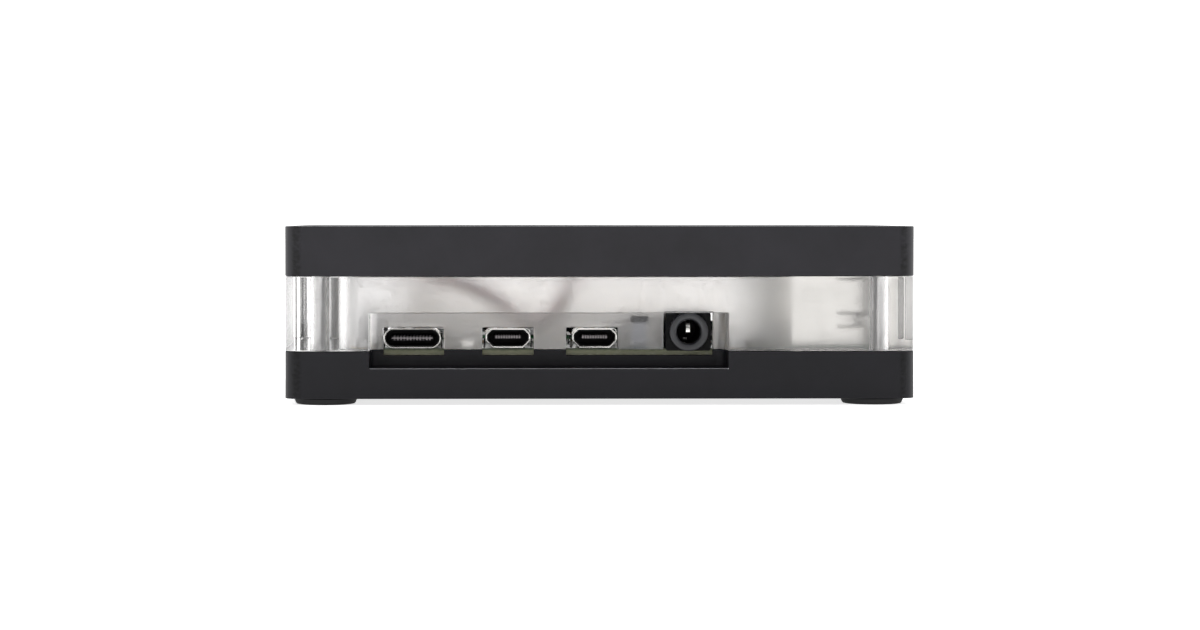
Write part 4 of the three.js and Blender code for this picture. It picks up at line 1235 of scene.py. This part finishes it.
def network_socket():
    """The network socket: its shield, insert, eight bent contacts and two light pipes."""
    node = "network_port_shield"
    low, high = box_mm(node)
    centre, _ = span(node)
    x0, x1 = high.x - 9.0, high.x - 3.0
    side_holes = [((x0, x1), (low.z + 6.0, low.z + 9.0))]
    roof_holes = [((x0, x1), (centre.y + y - 1.4, centre.y + y + 1.4)) for y in (-4.5, 4.5)]
    socket_shell(node, side_holes, roof_holes, 0.25)
    from_cad("network_port_insert", "network_port_insert_moulded", [BLACK_NYLON], "black_plastic", 0.12)
    low, high = box_mm("network_port_insert")
    contacts = Shape()
    for offset in spread(8, 1.02):
        y = centre.y + offset
        path = smooth_path([
            (high.x - 12.7, y, low.z + 10.3), (high.x - 9.0, y, low.z + 10.0), (high.x - 5.2, y, low.z + 8.6),
            (high.x - 4.4, y, low.z + 8.5), (high.x - 5.0, y, low.z + 9.3), (high.x - 6.2, y, low.z + 10.2),
        ], 4)
        contacts.wire(path, 0.2, 8)
    contacts.piece("network_port_contacts", [GOLD], "contact_metal")
    lights = Shape()
    for side in (-1, 1):
        y = centre.y + side * 5.9
        lights.box((high.x - 0.5, y - 1.3, low.z + 0.6), (high.x + 0.12, y + 1.3, low.z + 2.6), 0.2)
    lights.piece("network_port_light_pipes", [PALE_NYLON], "pale_plastic")


data_socket("front")
data_socket("rear")
network_socket()


# ---------- fan ----------

def fan_frame():
    """The fan's square frame and its four countersunk screws."""
    from_cad("fan_frame", "fan_frame_moulded", [FAN_PLASTIC], "fan_plastic", 0.25)
    for k in range(1, 5):
        from_cad(f"fan_screw_{k}", f"fan_screw_{k}_countersunk", [OXIDE_STEEL], "dark_screw", 0.08)


def fan_stator():
    """Stacked laminations round the bearing, and four wound poles with curved shoes."""
    low, high = box_mm("fan_stator")
    centre, size = span("fan_stator")
    outer, inner = size.x / 2, 2.3
    shape = Shape()
    rings = [(inner, low.z + 0.7)]
    for k in range(7):
        z = low.z + 0.7 + k * 0.18
        rings += [(2.9, z), (2.9, z + 0.12), (2.82, z + 0.13), (2.82, z + 0.17)]
    rings.append((inner, rings[-1][1]))
    place = Matrix.Translation((centre.x, centre.y, 0))
    shape.lathe(rings, place, 40)
    for k in range(4):
        shoe = arc(0, 0, outer, 90 * k - 34, 90 * k + 34, 17)
        back = [(0.88 * u, 0.88 * v) for u, v in reversed(shoe)]
        shape.use(0).prism([*shoe, *back], low.z + 0.3, high.z - 0.4, place)
        radial = Matrix.Rotation(math.radians(90 * k), 4, "Z") @ Matrix.Rotation(math.radians(90), 4, "Y")
        coil = Matrix.Translation((centre.x, centre.y, (low.z + high.z) / 2)) @ radial
        bulge = []
        for turn in range(6):
            at = 2.85 + turn * 0.17
            bulge += [(1.02, at), (1.1, at + 0.06), (1.1, at + 0.11), (1.02, at + 0.165)]
        shape.use(1).lathe([(0, 2.8), *bulge, (0, 3.9)], coil, 28)
    shape.piece("fan_stator_wound", [IRON, COPPER_WIRE], "copper", ["fan_stator"])


def fan_rotor():
    """The rotor: a rounded cup with a dished middle, and seven swept, cambered blades."""
    low, high = box_mm("fan_rotor")
    centre, _ = span("fan_rotor")
    tip, hub = 13.55, 6.0
    place = Matrix.Translation((centre.x, centre.y, 0))
    shape = Shape()
    top, bottom = high.z, low.z
    cup = [
        (1.15, bottom), (1.85, bottom), (1.9, top - 0.85), (hub - 0.95, top - 0.85), (hub - 0.95, bottom),
        (hub - 0.1, bottom), (hub, bottom + 0.1), (hub, top - 0.45), (hub - 0.14, top - 0.14),
        (hub - 0.45, top), (3.9, top), (3.75, top - 0.16), (3.6, top - 0.2), (0, top - 0.2),
        (0, top - 0.9), (1.15, top - 0.95),
    ]
    shape.lathe(cup, place, 64)
    blades, stations, around = 7, 9, 8
    middle = (top + bottom) / 2
    for blade in range(blades):
        turned = 2 * math.pi * blade / blades
        rings = []
        for station in range(stations):
            t = station / (stations - 1)
            radius = hub - 0.25 + (tip - hub + 0.25) * t
            pitch = math.radians(48 - 20 * t)
            chord = 4.9 + 1.7 * t
            swept = turned + 0.24 * t * t
            ring = []
            for k in range(2 * around):
                on_top = k < around
                along = (k / around if on_top else (2 * around - k) / around) * 2 - 1
                camber = 0.42 * (1 - along * along)
                half = 0.3 * math.sqrt(max(1 - along ** 4, 0.02)) * (1 if on_top else -1)
                s, w = along * chord / 2, camber + half
                flat = s * math.cos(pitch) - w * math.sin(pitch)
                up = s * math.sin(pitch) + w * math.cos(pitch)
                up = max(min(up, top - middle - 0.02), bottom - middle + 0.02)
                angle = swept + flat / radius
                ring.append(place @ Vector((radius * math.cos(angle), radius * math.sin(angle), middle + up)))
            rings.append(ring)
        shape.loft(rings)
    shape.piece("fan_rotor_moulded", [FAN_PLASTIC], "fan_plastic", ["fan_rotor"], body="fan_rotor")


LEAD_RADIUS = 0.5
RED_LEAD_ROUTE = [
    (-29.24, 25.77, 18.95), (-29.24, 25.6, 20.6), (-29.4, 23.2, 22.6), (-30.0, 17.0, 22.4),
    (-30.6, 8.0, 21.6), (-30.0, -2.0, 20.6), (-26.6, -10.6, 19.6), (-21.0, -13.6, 18.2),
    (-15.6, -14.0, 16.0), (-12.4, -14.0, 13.5), (-10.0, -14.0, 12.4), (-7.6, -14.0, 13.4),
    (-5.6, -14.0, 15.9), (-3.6, -13.8, 18.6), (-1.6, -12.8, 21.2), (-0.9, -10.85, 21.9),
]
BLACK_LEAD_ROUTE = [
    (-26.7, 25.77, 18.95), (-26.7, 25.6, 20.6), (-26.9, 23.2, 22.6), (-27.6, 17.0, 22.4),
    (-28.4, 8.0, 21.6), (-28.2, -2.0, 20.6), (-25.0, -9.4, 18.9), (-20.2, -12.1, 17.2),
    (-15.2, -12.5, 14.9), (-12.2, -12.5, 13.0), (-9.6, -12.5, 12.2), (-6.9, -12.5, 13.1),
    (-4.6, -12.5, 15.4), (-4.0, -12.5, 18.4), (-3.6, -12.0, 20.8), (-3.2, -10.85, 21.5),
]


def leads_and_plug():
    """The fan's two leads and their plug on the pin header."""
    for colour, route, material in (("red", RED_LEAD_ROUTE, RED_PVC), ("black", BLACK_LEAD_ROUTE, BLACK_PVC)):
        shape = Shape()
        shape.wire(smooth_path(route, 8), LEAD_RADIUS, 14)
        shape.piece(f"fan_lead_{colour}_sleeve", [material], f"{colour}_sleeve", [f"fan_lead_{colour}"])
    low, high = box_mm("fan_plug")
    centre, _ = span("fan_plug")
    shape = Shape()
    shape.box(low, high, 0.15)
    for side in (-1, 1):
        x = centre.x + side * 1.27
        shape.use(1).box((x - 0.45, low.y - 0.01, low.z + 3.0), (x + 0.45, low.y + 0.2, low.z + 5.2), 0.03)
        shape.use(0).box((x - 0.3, low.y - 0.02, low.z + 3.6), (x + 0.3, low.y + 0.15, low.z + 5.1), 0.05)
    shape.piece("fan_plug_housing", [BLACK_NYLON, GOLD], "black_plastic", ["fan_plug"])


fan_frame()
fan_stator()
fan_rotor()
leads_and_plug()


# ---------- stage ----------

WORLD_FRONT, WORLD_BACK = 0.25, 1.6


FLOOR_REACH = 3.0  # metres from the middle


def softbox(name, place, aim, width, depth, watts):
    data = bpy.data.lights.new(name, "AREA")
    data.shape = "RECTANGLE"
    data.size, data.size_y = width, depth
    data.energy = watts
    lamp = bpy.data.objects.new(name, data)
    lamp.location = place
    lamp.rotation_euler = (Vector(aim) - Vector(place)).to_track_quat("-Z", "Y").to_euler()
    bpy.context.scene.collection.objects.link(lamp)


def make_stage():
    scene = bpy.context.scene
    softbox("softbox_above", (0, 0.05, 0.9), (0, 0, 0), 0.9, 0.6, 3.0)
    softbox("softbox_front", (-0.5, -0.8, 0.6), (0, 0, 0.01), 0.3, 0.5, 0.8)
    softbox("softbox_low", (-0.12, -1.0, 0.3), (0, 0, 0.01), 0.3, 0.12, 0.5)
    scene.view_settings.view_transform = "Standard"
    world = bpy.data.worlds.new("studio")
    world.use_nodes = True
    tree = world.node_tree
    direction = tree.nodes.new("ShaderNodeTexCoord").outputs["Generated"]
    split = tree.nodes.new("ShaderNodeSeparateXYZ")
    tree.links.new(direction, split.inputs[0])
    level = tree.nodes.new("ShaderNodeMapRange")
    level.inputs["From Min"].default_value, level.inputs["From Max"].default_value = -1.0, 0.6
    level.inputs["To Min"].default_value, level.inputs["To Max"].default_value = WORLD_FRONT, WORLD_BACK
    tree.links.new(split.outputs["Y"], level.inputs["Value"])
    background = tree.nodes["Background"]
    background.inputs["Color"].default_value = (1.0, 1.0, 1.0, 1.0)
    tree.links.new(level.outputs["Result"], background.inputs["Strength"])
    scene.world = world

    floor_mesh = bpy.data.meshes.new("floor")
    corners = [(x * FLOOR_REACH, y * FLOOR_REACH, 0) for x, y in ((-1, -1), (1, -1), (1, 1), (-1, 1))]
    floor_mesh.from_pydata(corners, [], [(0, 1, 2, 3)])
    n = Nodes("floor")
    n.colour(n.noise(60.0, 2), (0.3, (0.9, 0.9, 0.9)), (0.7, (0.93, 0.93, 0.93)))
    n.roughness(n.noise(1.0, 3), 0.75, 0.85)
    n.set(Emission_Color=(1.0, 1.0, 1.0, 1.0), Emission_Strength=0.75)
    floor_mesh.materials.append(n.material)
    floor = bpy.data.objects.new("floor", floor_mesh)
    scene.collection.objects.link(floor)


make_stage()
